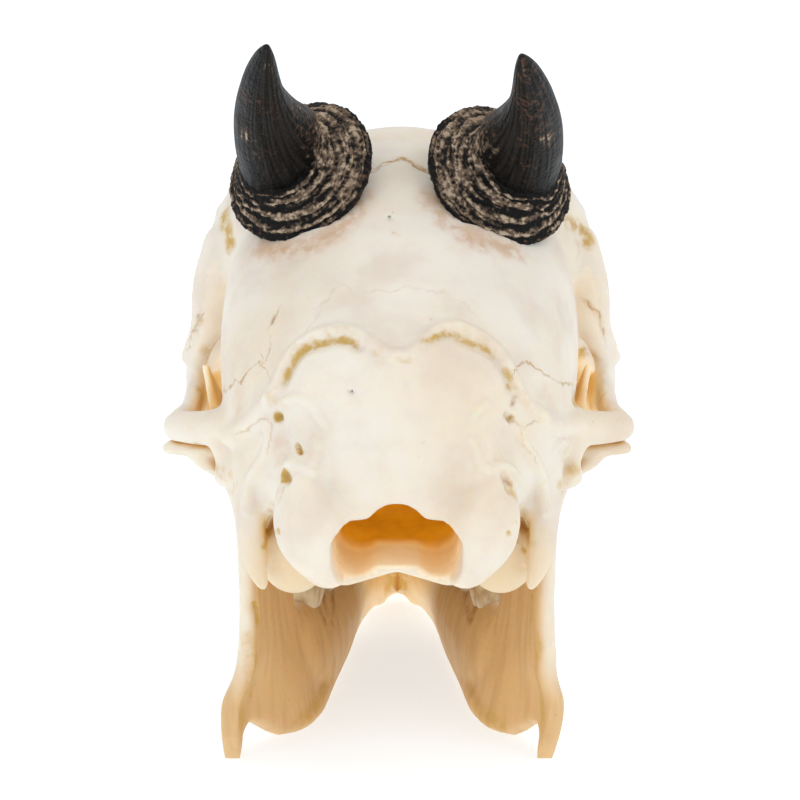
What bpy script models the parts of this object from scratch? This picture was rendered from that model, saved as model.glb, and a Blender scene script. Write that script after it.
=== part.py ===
"""Red duiker skull with short horns, standing on its lower jaw.

The snout points to -Y, the left side is +X, and the floor is Z = 0. The bones are grown shapes: each
one starts as rings and beads that are fused into one skin, is then hollowed, and is last thinned to a
few thousand facets. All sizes are in millimetres and are turned to metres by MM.
"""
import math

import bmesh
import bpy
import numpy as np
from mathutils import Matrix, Vector

MM = 0.001
COLLECTION = "red_duiker_skull"

# Driving sizes
TOUCHING_GAP = 0.3
GRAIN = 0.9
CRANIUM_TRIANGLES = 3600
MANDIBLE_TRIANGLES = 700

# The face is a little out of line with the nape: two places along the skull and how far it is off to one side
FACE_LEAN = ((20.0, 62.0), (-0.6, 0.0))

# Horn sheath: a rough ringed foot that flares over the skull, and a smooth claw above it
# The right horn stands a little further out and leans back less than the left one
HORN_FEET = {1: Vector((14.4, 33.6, 87.3)), -1: Vector((15.3, 33.6, 86.7))}
HORN_TIPS = {1: Vector((18.2, 62.0, 111.4)), -1: Vector((17.5, 60.0, 109.7))}
HORN_FOOT_AXIS = Vector((0.42, 0.64, 0.62)).normalized()
HORN_FOOT_RADIUS = 12.3
HORN_STEM_RADIUS = 6.0
HORN_CLAW_SHIFT = 2.1
HORN_FOOT_HEIGHT = 4.4
HORN_RINGS = 5
HORN_SIDES = 16
HORN_BEND = 0.45
HORN_FLARE = 1.2
HORN_RING_DEPTH = 0.55
HORN_TIP_RADIUS = 0.35
CLAW_STEPS = 7
CLAW_TAPER = 0.82
PEDICLE_DEPTH = 12.0
PEDICLE_TOP = 4.4

# Cheek teeth, from the front premolar to the last molar: length along the row in millimetres
CHEEK_TOOTH_NAMES = ("premolar_2", "premolar_3", "premolar_4", "molar_1", "molar_2", "molar_3")
CHEEK_TOOTH_LENGTHS = (6.0, 6.8, 7.0, 8.4, 9.6, 10.6)
TOOTH_ROW_FRONT = -26.0
TOOTH_SPACING = 0.35
TOOTH_SIDES = 8
ROOT_DEPTH = 2.4

# Front teeth of the lower jaw: name, X of the root, X and Y of the tip, and width
FRONT_TEETH = (
    ("incisor_1", 1.3, 2.35, -75.4, 4.3),
    ("incisor_2", 2.5, 5.95, -74.4, 2.5),
    ("incisor_3", 3.7, 8.05, -72.6, 2.0),
    ("canine", 4.7, 9.75, -70.4, 1.7),
)
FRONT_TOOTH_TIP_Z = 24.0
FRONT_TOOTH_SIDES = 6

# Lower jaw half: how far out its blade lies at each Y, for six heights
JAW_Y = (-76.0, -50.0, -30.0, -26.0, -14.0, 2.0, 14.0, 22.0, 28.0, 34.0, 38.0, 42.0, 48.0)
JAW_OUTWARD = {
    0.0: (2.2, 1.9, 3.0, 5.0, 7.8, 9.6, 11.2, 12.2, 13.2, 15.5, 19.2, 22.4, 25.2),
    8.0: (2.4, 2.0, 2.7, 5.3, 8.0, 10.2, 12.1, 13.4, 14.7, 17.0, 19.7, 22.8, 25.4),
    15.0: (2.6, 2.2, 2.3, 5.6, 8.2, 10.8, 13.0, 14.6, 16.2, 18.4, 19.9, 21.3, 22.8),
    28.0: (2.6, 2.2, 2.8, 5.6, 8.2, 10.8, 13.0, 16.5, 18.8, 20.2, 21.0, 21.8, 22.4),
    41.0: (2.6, 2.2, 2.8, 5.6, 8.2, 10.8, 16.8, 20.6, 22.9, 23.4, 23.6, 23.8, 23.8),
    46.0: (2.6, 2.2, 2.8, 5.6, 8.2, 10.8, 18.3, 22.6, 25.4, 26.1, 27.4, 28.6, 28.6),
    60.0: (2.6, 2.2, 2.8, 5.6, 8.2, 10.8, 20.0, 27.0, 29.4, 29.4, 28.8, 28.6, 28.6),
}
JAW_BLADE_THICKNESS = 2.7

# The right half's rear corner is bent in: how far by height, and its share by length
RIGHT_CORNER_BEND = ((0.0, 16.0), (2.5, 0.0))
RIGHT_CORNER_REACH = ((36.0, 47.0), (0.0, 1.0))

# The jaw blade thins toward the tip of its muscle process: two heights and the share of its thickness there
JAW_THINNING = ((47.0, 56.0), (1.0, 0.6))

# Pieces' colours from the photo, as linear RGB
BONE_COLOUR = (0.80, 0.73, 0.60, 1.0)
JAW_COLOUR = (0.74, 0.62, 0.43, 1.0)
TOOTH_COLOUR = (0.62, 0.52, 0.38, 1.0)
HORN_COLOUR = (0.018, 0.015, 0.014, 1.0)


def clear_scene():
    """Removes every object that the file holds."""
    for thing in list(bpy.data.objects):
        bpy.data.objects.remove(thing, do_unlink=True)


def collection():
    """Returns the collection that holds the skull's pieces."""
    found = bpy.data.collections.get(COLLECTION)
    if found is None:
        found = bpy.data.collections.new(COLLECTION)
        bpy.context.scene.collection.children.link(found)
    return found


def finish(name, colour, roughness):
    """Makes a material with the colour and sheen of one kind of tissue."""
    material = bpy.data.materials.new(name)
    material.use_nodes = True
    shader = material.node_tree.nodes["Principled BSDF"]
    shader.inputs["Base Color"].default_value = colour
    shader.inputs["Roughness"].default_value = roughness
    return material


def link_mesh(name, mesh):
    """Puts a mesh into the skull's collection as an object of its own."""
    thing = bpy.data.objects.new(name, mesh)
    collection().objects.link(thing)
    return thing


def object_from(name, shape):
    """Turns a bmesh into an object and frees the bmesh."""
    bmesh.ops.recalc_face_normals(shape, faces=shape.faces)
    if shape.calc_volume(signed=True) < 0:
        bmesh.ops.reverse_faces(shape, faces=shape.faces)
    mesh = bpy.data.meshes.new(name)
    shape.to_mesh(mesh)
    shape.free()
    return link_mesh(name, mesh)


def bake(thing):
    """Applies an object's modifiers to its mesh."""
    graph = bpy.context.evaluated_depsgraph_get()
    mesh = bpy.data.meshes.new_from_object(thing.evaluated_get(graph), depsgraph=graph)
    thing.modifiers.clear()
    thing.data = mesh
    return thing


def cut(thing, cutter):
    """Takes one closed shape away from another and removes the second."""
    boolean = thing.modifiers.new("cut", "BOOLEAN")
    boolean.operation = "DIFFERENCE"
    boolean.solver = "EXACT"
    boolean.object = cutter
    bake(thing)
    bpy.data.objects.remove(cutter, do_unlink=True)


def grow_skin(thing, grain=GRAIN, smoothing=4):
    """Fuses overlapping closed shapes into one skin and softens it."""
    remesh = thing.modifiers.new("skin", "REMESH")
    remesh.mode = "VOXEL"
    remesh.voxel_size = grain * MM
    soften = thing.modifiers.new("soften", "SMOOTH")
    soften.factor = 0.5
    soften.iterations = smoothing
    bake(thing)


def keep_main_body(thing):
    """Drops crumbs that a thin wall may leave and keeps the largest body."""
    shape = bmesh.new()
    shape.from_mesh(thing.data)
    left = set(shape.verts)
    bodies = []
    while left:
        seed = left.pop()
        body = {seed}
        edge_of_body = [seed]
        while edge_of_body:
            vert = edge_of_body.pop()
            for edge in vert.link_edges:
                other = edge.other_vert(vert)
                if other in left:
                    left.remove(other)
                    body.add(other)
                    edge_of_body.append(other)
        bodies.append(body)
    bodies.sort(key=len)
    for crumb in bodies[:-1]:
        bmesh.ops.delete(shape, geom=list(crumb), context="VERTS")
    shape.to_mesh(thing.data)
    shape.free()


def thin_out(thing, triangles):
    """Reduces a skin to about the given number of triangles."""
    thing.data.calc_loop_triangles()
    decimate = thing.modifiers.new("thin", "DECIMATE")
    decimate.ratio = min(1.0, triangles / len(thing.data.loop_triangles))
    decimate.use_collapse_triangulate = True
    bake(thing)


def add_ring_body(shape, rings):
    """Skins a row of rings, each with the same number of points, and closes both ends."""
    rows = []
    for ring in rings:
        rows.append([shape.verts.new(Vector(point) * MM) for point in ring])
    sides = len(rows[0])
    for near, far in zip(rows, rows[1:]):
        for index in range(sides):
            after = (index + 1) % sides
            shape.faces.new((near[index], near[after], far[after], far[index]))
    shape.faces.new(rows[0])
    shape.faces.new(list(reversed(rows[-1])))


def section(y, half_width, low, middle, high, top_power=2.0, low_power=2.0, sides=44):
    """Returns one cross-section of the skull: a rounded ring in the plane of one Y."""
    ring = []
    for step in range(sides):
        angle = 2 * math.pi * step / sides
        across = math.cos(angle)
        up = math.sin(angle)
        power = top_power if up > 0 else low_power
        reach = high - middle if up > 0 else middle - low
        x = half_width * math.copysign(abs(across) ** (2 / power), across)
        z = middle + reach * math.copysign(abs(up) ** (2 / power), up)
        ring.append((x, y, z))
    return ring


def ball_points():
    """Returns the points of a unit ball, for the beads."""
    ball = bmesh.new()
    bmesh.ops.create_icosphere(ball, subdivisions=2, radius=1.0)
    points = [vert.co.copy() for vert in ball.verts]
    ball.free()
    return points


BALL = ball_points()


def add_bead_pair(shape, first, second, side):
    """Adds the closed hull round two beads, each x, y, z and its three radii."""
    hull = bmesh.new()
    for x, y, z, rx, ry, rz in (first, second):
        for point in BALL:
            hull.verts.new(Vector((side * (x + rx * point.x), y + ry * point.y, z + rz * point.z)) * MM)
    found = bmesh.ops.convex_hull(hull, input=hull.verts)
    left_over = found["geom_interior"] + found["geom_unused"]
    spare = {item for item in left_over if isinstance(item, bmesh.types.BMVert)}
    bmesh.ops.delete(hull, geom=list(spare), context="VERTS")
    bmesh.ops.recalc_face_normals(hull, faces=hull.faces)
    copy = {vert: shape.verts.new(vert.co) for vert in hull.verts}
    for face in hull.faces:
        shape.faces.new([copy[vert] for vert in face.verts])
    hull.free()


def add_beads(shape, beads, both_sides=True):
    """Adds a limb that runs through a row of beads, and its twin on the other side."""
    for side in (1, -1) if both_sides else (1,):
        for first, second in zip(beads, beads[1:]):
            add_bead_pair(shape, first, second, side)


def add_bead(shape, bead, both_sides=True):
    """Adds one lone bead, and its twin."""
    add_beads(shape, (bead, bead), both_sides)


def add_vault(shape):
    """Adds the braincase from the nape to the narrow waist behind the eyes."""
    add_ring_body(shape, (
        section(70.8, 8.0, 42.0, 48.0, 54.0),
        section(68.6, 13.0, 39.0, 50.0, 61.5),
        section(66.2, 16.6, 37.5, 51.0, 66.8, 2.3),
        section(64.4, 18.2, 36.5, 51.0, 68.6, 2.3),
        section(61.0, 20.8, 35.5, 51.5, 70.8, 2.2),
        section(56.5, 23.6, 34.5, 52.0, 74.0, 2.1),
        section(50.0, 25.2, 34.5, 54.0, 78.6, 2.1),
        section(42.0, 26.3, 35.5, 57.0, 83.2, 2.1),
        section(34.0, 26.8, 36.5, 60.5, 87.0, 2.2),
        section(26.0, 26.2, 37.5, 63.0, 89.3, 2.2),
        section(20.0, 23.8, 37.5, 64.0, 90.0, 2.2),
        section(13.0, 21.0, 37.0, 64.0, 89.6, 2.2),
        section(4.0, 19.5, 36.0, 62.0, 88.0, 2.2),
        section(-6.0, 19.0, 33.0, 56.0, 83.0, 2.2),
        section(-14.0, 17.0, 30.0, 50.0, 76.0, 2.2),
    ))


def add_brow(shape):
    """Adds the frontal shield, which widens over the eyes and runs down into the face."""
    add_ring_body(shape, (
        section(27.0, 24.5, 62.0, 69.0, 89.2, 2.3),
        section(22.5, 27.8, 64.0, 70.5, 89.8, 2.1),
        section(18.0, 29.2, 66.0, 72.0, 90.0, 2.0),
        section(11.0, 28.6, 67.0, 73.5, 89.3, 2.0),
        section(3.0, 27.2, 67.0, 74.0, 87.4, 2.0),
        section(-5.0, 26.8, 62.0, 71.5, 83.8, 2.0),
        section(-13.0, 24.8, 50.0, 64.0, 78.4, 2.0),
        section(-20.0, 21.6, 42.0, 56.0, 73.2, 2.0),
        section(-27.0, 17.8, 36.0, 49.0, 68.4, 2.0),
        section(-35.0, 13.8, 32.0, 43.0, 63.2, 2.0),
    ))


def add_rostrum(shape):
    """Adds the long upper jaw and the nasal bones."""
    add_ring_body(shape, (
        section(-4.0, 19.0, 29.0, 46.0, 76.0, 2.0, 2.6),
        section(-12.0, 19.6, 27.6, 44.0, 74.6, 1.9, 2.8),
        section(-20.0, 18.0, 26.6, 42.0, 72.0, 1.9, 3.0),
        section(-30.0, 15.6, 26.0, 40.0, 66.6, 2.0, 3.0),
        section(-38.0, 13.0, 25.6, 39.0, 61.8, 2.1, 3.0),
        section(-46.0, 11.0, 25.4, 38.0, 57.2, 2.2, 3.0),
        section(-54.0, 9.8, 25.2, 37.0, 52.8, 2.3, 3.0),
        section(-59.0, 9.0, 25.4, 37.0, 50.0, 2.4, 3.0),
    ))
    nasal_tips = ((3.6, -55.0, 50.0, 4.2, 4.0, 2.2), (3.0, -65.5, 45.4, 2.2, 2.4, 1.4))
    add_beads(shape, nasal_tips)


def add_premaxilla(shape):
    """Adds the two slender bones round the nose opening that end in the toothless tip."""
    lower = (
        (8.0, -52.0, 29.0, 2.8, 4.0, 3.4),
        (7.2, -61.0, 28.4, 2.5, 3.5, 2.6),
        (6.4, -69.0, 27.4, 2.8, 3.0, 2.0),
        (3.8, -73.8, 26.8, 3.4, 2.4, 1.7),
    )
    rising = (
        (6.8, -68.0, 29.6, 1.7, 2.2, 2.2),
        (8.4, -60.0, 37.4, 1.5, 2.6, 3.0),
        (8.4, -54.0, 45.4, 1.6, 3.0, 3.0),
    )
    palatal = ((2.0, -70.0, 26.8, 1.7, 3.0, 1.2), (1.6, -54.0, 26.8, 1.5, 4.0, 1.4))
    add_beads(shape, lower)
    add_beads(shape, rising)
    add_beads(shape, palatal)


def add_cheek_arch(shape):
    """Adds the arch from the cheek under the eye back to the jaw joint, and the bar behind the eye."""
    arch = (
        (19.0, -20.0, 42.0, 5.0, 6.0, 6.0),
        (25.8, -11.0, 43.4, 3.2, 5.0, 5.6),
        (30.2, 0.0, 44.6, 2.3, 5.0, 5.0),
        (31.3, 11.0, 47.2, 1.9, 4.0, 4.4),
        (31.4, 22.0, 49.6, 1.6, 4.0, 3.6),
        (31.8, 31.0, 49.4, 1.5, 3.4, 2.4),
        (32.8, 39.6, 50.2, 1.8, 3.0, 2.2),
    )
    joint_shelf = (
        (33.0, 41.8, 50.3, 2.2, 3.0, 2.2),
        (28.0, 44.4, 50.8, 2.8, 3.4, 2.6),
        (23.6, 49.0, 53.4, 2.4, 3.6, 2.4),
        (21.2, 54.4, 56.6, 1.8, 2.0, 1.8),
    )
    joint_stop = ((26.0, 46.6, 49.4, 2.0, 1.8, 2.4), (25.8, 46.8, 46.6, 1.4, 1.3, 1.6))
    eye_bar = (
        (26.8, 20.0, 73.0, 3.4, 3.0, 3.4),
        (28.8, 21.6, 67.0, 3.0, 2.6, 3.2),
        (29.6, 21.2, 61.0, 2.5, 2.6, 2.6),
        (31.2, 19.4, 55.6, 1.7, 3.2, 2.6),
        (31.6, 16.8, 50.4, 1.6, 4.2, 2.6),
    )
    temple_web = (
        (26.6, 19.5, 70.0, 3.4, 3.4, 4.0),
        (27.4, 20.6, 65.0, 2.8, 2.6, 3.0),
        (26.8, 20.2, 60.8, 2.8, 2.2, 2.4),
    )
    eye_floor = (
        (20.5, -12.0, 43.4, 4.0, 4.0, 3.6),
        (26.8, -8.0, 48.6, 3.6, 3.4, 4.8),
        (29.2, -1.0, 46.8, 2.8, 4.0, 3.6),
        (28.2, 4.0, 46.2, 3.2, 5.0, 2.2),
    )
    add_beads(shape, arch)
    add_beads(shape, joint_shelf)
    add_beads(shape, joint_stop)
    add_beads(shape, eye_bar)
    add_beads(shape, temple_web)
    add_beads(shape, eye_floor)


def add_eye_rim(shape):
    """Adds the raised rim in front of and above the eye socket."""
    rim = (
        (24.6, -11.5, 48.0, 2.2, 2.4, 3.0),
        (24.4, -13.0, 57.0, 2.0, 2.4, 3.0),
        (24.8, -10.5, 66.0, 2.0, 2.4, 3.0),
        (25.8, -4.0, 73.0, 2.0, 3.0, 2.2),
        (26.8, 5.0, 74.6, 2.0, 3.0, 2.0),
        (27.0, 14.0, 74.2, 2.0, 3.0, 2.0),
        (28.2, 19.0, 71.6, 2.0, 3.0, 2.0),
    )
    add_beads(shape, rim)


def add_occiput(shape):
    """Adds the nape: the crest, the two condyles, the side spikes and the floor of the braincase."""
    crest = (
        (20.4, 56.0, 57.4, 1.4, 1.5, 1.5),
        (18.4, 59.0, 61.6, 1.2, 1.3, 1.3),
        (15.4, 62.0, 65.6, 1.2, 1.3, 1.2),
        (11.8, 64.4, 68.2, 1.2, 1.3, 1.2),
        (7.6, 66.0, 69.4, 1.2, 1.3, 1.1),
        (3.6, 66.4, 68.0, 1.2, 1.3, 1.1),
        (0.0, 66.4, 66.2, 1.4, 1.3, 1.1),
    )
    condyle = (
        (12.4, 65.2, 52.4, 3.6, 4.6, 4.0),
        (13.2, 68.0, 46.6, 4.2, 6.6, 4.4),
        (12.2, 70.4, 42.6, 5.2, 5.8, 5.4),
        (9.8, 70.6, 38.2, 3.9, 5.0, 3.9),
    )
    spike = (
        (20.8, 55.6, 48.0, 3.4, 4.0, 5.0),
        (21.3, 58.0, 41.0, 2.3, 2.8, 3.0),
        (20.8, 59.6, 35.4, 1.9, 2.0, 2.2),
        (19.6, 60.2, 31.5, 1.0, 1.1, 1.1),
    )
    sill = ((0.0, 66.0, 36.9, 2.0, 2.8, 1.5), (7.6, 66.0, 34.6, 2.4, 2.8, 1.5))
    floor = (
        (0.0, 63.0, 36.2, 6.0, 2.6, 1.8),
        (0.0, 55.0, 35.2, 6.4, 4.0, 2.6),
        (0.0, 42.0, 34.0, 5.4, 5.0, 3.2),
        (0.0, 27.0, 36.6, 5.0, 6.0, 3.6),
    )
    ear_capsule = ((14.6, 45.0, 36.0, 4.6, 6.0, 6.8), (15.2, 53.0, 34.8, 5.6, 6.4, 6.8))
    ear_tube = (
        (19.0, 48.6, 46.0, 4.0, 4.6, 4.0),
        (24.2, 47.4, 44.8, 2.6, 2.6, 2.8),
        (26.4, 47.0, 44.0, 1.1, 1.5, 1.3),
    )
    add_beads(shape, crest)
    add_beads(shape, condyle)
    add_beads(shape, spike)
    add_beads(shape, sill)
    add_beads(shape, floor, both_sides=False)
    add_bead(shape, (9.6, 58.5, 35.4, 4.0, 7.0, 3.4))
    add_beads(shape, ear_capsule)
    add_beads(shape, ear_tube)


def add_palate_and_wings(shape):
    """Adds the tooth-bearing ridge, and the thin wings behind the palate."""
    tooth_ridge = (
        (10.2, -27.0, 29.6, 3.4, 4.0, 4.6),
        (13.2, -8.0, 31.0, 4.6, 5.0, 5.4),
        (16.8, 10.0, 32.4, 5.2, 6.0, 6.0),
        (18.0, 20.6, 33.6, 4.8, 4.6, 6.4),
    )
    tooth_ridge_outer = ((20.0, -8.0, 40.0, 4.0, 8.0, 7.0), (19.6, 12.0, 38.0, 3.4, 8.0, 6.0))
    wing = (
        (9.0, 8.0, 32.0, 2.0, 5.0, 4.0),
        (8.2, 22.0, 33.0, 1.3, 5.0, 5.0),
        (7.4, 33.0, 33.4, 1.2, 3.0, 4.4),
    )
    behind_palate = ((12.0, 6.0, 35.0, 5.0, 6.0, 5.0), (11.0, 20.0, 38.0, 5.0, 6.0, 4.0))
    add_beads(shape, tooth_ridge)
    add_beads(shape, tooth_ridge_outer)
    add_beads(shape, wing)
    add_beads(shape, behind_palate)


def add_pedicles(shape):
    """Adds the two bony stumps that the horn sheaths sit on."""
    root = HORN_FEET[1] - HORN_FOOT_AXIS * PEDICLE_DEPTH
    top = HORN_FEET[1] - HORN_FOOT_AXIS * PEDICLE_TOP
    add_beads(shape, ((*root, 10.5, 10.5, 7.0), (*top, 8.4, 8.0, 5.0)))


def hollow_brain(cranium):
    """Opens the brain cavity through the great hole at the nape."""
    cavity = bmesh.new()
    add_beads(cavity, (
        (0.0, 26.0, 65.0, 19.0, 9.0, 18.0),
        (0.0, 40.0, 61.0, 22.6, 15.0, 19.0),
        (0.0, 54.0, 52.0, 14.0, 6.0, 12.0),
    ), both_sides=False)
    add_ring_body(cavity, (
        section(50.0, 10.0, 38.6, 46.0, 54.0, 2.2, 2.6),
        section(60.0, 9.0, 37.4, 41.6, 46.6, 3.0, 3.6),
        section(68.0, 9.2, 36.9, 40.4, 44.4, 4.5, 5.0),
        section(82.0, 9.6, 36.4, 39.8, 43.9, 4.5, 5.0),
    ))
    add_beads(cavity, ((5.8, 58.0, 38.6, 2.8, 3.0, 2.8), (6.2, 82.0, 37.4, 3.0, 3.0, 2.6)))
    arch = ((0.0, 62.0, 43.6, 4.0, 3.0, 3.5), (0.0, 80.0, 42.8, 4.0, 3.0, 3.4))
    add_beads(cavity, arch, both_sides=False)
    cavity_skin = object_from("brain_cavity", cavity)
    grow_skin(cavity_skin, smoothing=2)
    cut(cranium, cavity_skin)


def hollow_eyes(cranium):
    """Sinks the two eye sockets."""
    sockets = bmesh.new()
    add_bead(sockets, (30.4, 2.6, 61.4, 15.6, 15.0, 12.6))
    sockets_skin = object_from("eye_sockets", sockets)
    cut(cranium, sockets_skin)


def hollow_nose(cranium):
    """Opens the nose passage from the tip back to the throat, above the palate."""
    passage = bmesh.new()
    add_ring_body(passage, (
        section(-84.0, 5.6, 28.6, 36.0, 45.0, 2.4, 2.4),
        section(-66.0, 6.2, 28.8, 36.0, 43.0, 2.4, 2.4),
        section(-58.0, 6.8, 28.8, 37.0, 46.6, 2.4, 2.4),
        section(-46.0, 7.8, 28.8, 38.0, 52.8, 2.3, 2.6),
        section(-30.0, 10.4, 29.4, 40.0, 60.4, 2.2, 2.8),
        section(-14.0, 11.6, 31.4, 43.0, 62.0, 2.2, 2.8),
        section(-4.0, 8.0, 34.0, 42.0, 54.0),
    ))
    add_beads(passage, (
        (0.0, -8.0, 36.0, 6.0, 5.0, 3.8),
        (0.0, 10.0, 33.6, 5.4, 6.0, 3.8),
        (0.0, 24.0, 30.6, 5.6, 8.0, 3.2),
        (0.0, 40.0, 26.5, 5.6, 8.0, 3.6),
    ), both_sides=False)
    passage_skin = object_from("nose_passage", passage)
    grow_skin(passage_skin, smoothing=2)
    cut(cranium, passage_skin)


def hollow_palate(cranium):
    """Arches the palate between the tooth rows and cuts the two slots behind the tip."""
    hollows = bmesh.new()
    add_beads(hollows, (
        (0.0, -44.0, 24.0, 5.0, 6.0, 2.4),
        (0.0, -20.0, 24.0, 6.2, 8.0, 3.4),
        (0.0, 4.0, 25.4, 9.0, 8.0, 3.8),
    ), both_sides=False)
    add_beads(hollows, ((4.0, -67.0, 27.0, 1.2, 2.0, 6.0), (4.8, -56.0, 27.0, 1.4, 2.0, 6.0)))
    hollows_skin = object_from("palate_hollows", hollows)
    grow_skin(hollows_skin, smoothing=1)
    cut(cranium, hollows_skin)


def lean_face(cranium):
    """Moves the face to the side by the little that it is out of line with the nape."""
    for vert in cranium.data.vertices:
        vert.co.x += float(np.interp(vert.co.y / MM, *FACE_LEAN)) * MM


def make_cranium():
    """Makes the whole upper skull as one grown bone."""
    shape = bmesh.new()
    add_vault(shape)
    add_brow(shape)
    add_rostrum(shape)
    add_premaxilla(shape)
    add_cheek_arch(shape)
    add_eye_rim(shape)
    add_occiput(shape)
    add_palate_and_wings(shape)
    add_pedicles(shape)
    cranium = object_from("cranium", shape)
    grow_skin(cranium)
    hollow_eyes(cranium)
    hollow_nose(cranium)
    hollow_brain(cranium)
    hollow_palate(cranium)
    grow_skin(cranium, smoothing=2)
    keep_main_body(cranium)
    lean_face(cranium)
    thin_out(cranium, CRANIUM_TRIANGLES)
    return cranium


def jaw_outward(y, z):
    """Returns how far from the middle the jaw blade lies at a place along it and a height."""
    heights = sorted(JAW_OUTWARD)
    rows = np.array([np.interp(y, JAW_Y, JAW_OUTWARD[height]) for height in heights])
    return float(np.interp(z, heights, rows))


def jaw_outline():
    """Returns the side view of a jaw half as Y and Z pairs, from the chin round the angle to the teeth."""
    underside = (
        (-73.5, 18.5), (-66.0, 13.0), (-56.0, 7.0), (-44.0, 2.8), (-34.0, 0.4), (-28.0, 0.0), (-14.0, 0.6),
        (4.0, 0.6), (16.0, 0.2), (24.0, -0.5),
    )
    angle_notch = (
        (35.0, -0.6), (38.0, 1.0), (40.6, 3.4), (43.2, 4.4), (45.2, 3.4), (46.4, 0.6), (47.4, -0.6), (49.0, 3.5),
    )
    rear_edge = ((48.2, 10.0), (47.4, 20.0), (46.6, 30.0), (44.6, 37.0), (42.8, 41.0), (42.6, 45.4))
    joint_and_notch = ((38.8, 45.4), (38.2, 42.6), (36.4, 41.6), (34.8, 44.0))
    muscle_process = (
        (34.2, 50.0), (34.8, 54.5), (33.4, 57.6), (31.2, 57.0), (28.6, 53.0), (26.8, 47.0), (26.6, 38.0),
        (27.4, 27.0),
    )
    tooth_edge = ((28.0, 17.0), (14.0, 15.4), (-6.0, 14.0), (-25.5, 12.8))
    gap_edge = ((-30.0, 12.0), (-42.0, 12.0), (-54.0, 14.4), (-64.0, 18.2), (-73.0, 21.4))
    rear = angle_notch + rear_edge + joint_and_notch
    return underside + rear + muscle_process + tooth_edge + gap_edge


def add_jaw_blade(shape):
    """Adds the thin blade of the jaw half, flat and upright."""
    outline = jaw_outline()
    half = JAW_BLADE_THICKNESS / 2
    near = [shape.verts.new(Vector((-half, y, z)) * MM) for y, z in outline]
    far = [shape.verts.new(Vector((half, y, z)) * MM) for y, z in outline]
    shape.faces.new(near)
    shape.faces.new(list(reversed(far)))
    for index in range(len(outline)):
        after = (index + 1) % len(outline)
        shape.faces.new((near[after], near[index], far[index], far[after]))


def add_jaw_body(shape):
    """Adds the thick parts of the jaw half: the body, the chin, the joint knob and the rounded rear edge."""
    body = (
        (0.0, 26.0, 11.0, 2.6, 4.0, 6.4),
        (0.0, 18.0, 8.8, 3.2, 4.0, 8.0),
        (0.0, 2.0, 7.8, 3.3, 4.0, 6.9),
        (0.0, -18.0, 7.0, 3.0, 4.0, 6.0),
        (0.0, -32.0, 6.2, 2.6, 4.0, 5.6),
        (0.0, -46.0, 7.6, 2.4, 4.0, 4.4),
        (0.0, -60.0, 12.6, 2.5, 4.0, 3.8),
        (0.0, -69.0, 17.6, 3.0, 3.4, 3.2),
    )
    chin_plate = (
        (-2.0, -31.0, 8.0, 3.2, 2.2, 3.4),
        (-2.0, -31.0, 4.2, 3.4, 2.2, 3.2),
        (-0.8, -46.0, 7.4, 1.8, 4.0, 4.6),
    )
    underside_roll = (
        (0.0, 32.0, 1.2, 1.6, 4.0, 1.6),
        (0.0, 18.0, 2.4, 2.2, 4.0, 2.4),
        (0.0, -20.0, 2.6, 2.2, 4.0, 2.4),
    )
    knob = ((-2.0, 41.0, 46.6, 2.4, 2.2, 1.4), (4.8, 40.8, 46.9, 2.2, 2.0, 1.2))
    neck_and_rear_edge = (
        (0.2, 41.4, 44.6, 2.4, 1.9, 1.8),
        (0.0, 42.6, 38.0, 1.6, 2.2, 3.0),
        (0.0, 45.6, 29.0, 1.5, 1.8, 3.0),
        (0.0, 46.6, 14.0, 1.6, 1.8, 3.0),
        (0.0, 46.8, 3.0, 1.3, 1.7, 2.4),
    )
    for row in (body, chin_plate, underside_roll, knob, neck_and_rear_edge):
        add_beads(shape, row, both_sides=False)


def swing_out(jaw, side):
    """Moves an upright jaw half out to where the real one lies, and thins its muscle process."""
    for vert in jaw.data.vertices:
        y, z = vert.co.y / MM, vert.co.z / MM
        share = float(np.interp(z, *JAW_THINNING))
        out = jaw_outward(y, z)
        if side < 0:
            out -= float(np.interp(z, *RIGHT_CORNER_BEND) * np.interp(y, *RIGHT_CORNER_REACH))
        vert.co.x = side * (vert.co.x * share + out * MM)
    if side < 0:
        jaw.data.flip_normals()


def make_mandible(name, side):
    """Makes one half of the lower jaw, and cuts it flat at the chin joint and the floor."""
    shape = bmesh.new()
    add_jaw_blade(shape)
    add_jaw_body(shape)
    jaw = object_from(name, shape)
    grow_skin(jaw, smoothing=3)
    swing_out(jaw, side)
    trim = bmesh.new()
    for centre, size in (
        ((side * (TOUCHING_GAP / 2 - 20.0), -40.0, 20.0), (40.0, 120.0, 80.0)),
        ((0.0, 0.0, -10.0), (200.0, 200.0, 20.0)),
    ):
        block = Matrix.Translation(Vector(centre) * MM) @ Matrix.Diagonal((*(Vector(size) * MM), 1.0))
        bmesh.ops.create_cube(trim, size=1.0, matrix=block)
    trim_block = object_from("chin_joint_and_floor", trim)
    thin_out(jaw, MANDIBLE_TRIANGLES)
    cut(jaw, trim_block)
    keep_main_body(jaw)
    return jaw


def horn_path(along, side):
    """Returns a point on the horn's bent middle line, from the foot at 0 to the tip at 1."""
    foot, tip = HORN_FEET[side], HORN_TIPS[side]
    pull = foot + HORN_FOOT_AXIS * (tip - foot).length * HORN_BEND
    return foot * (1 - along) ** 2 + pull * 2 * along * (1 - along) + tip * along ** 2


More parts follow.
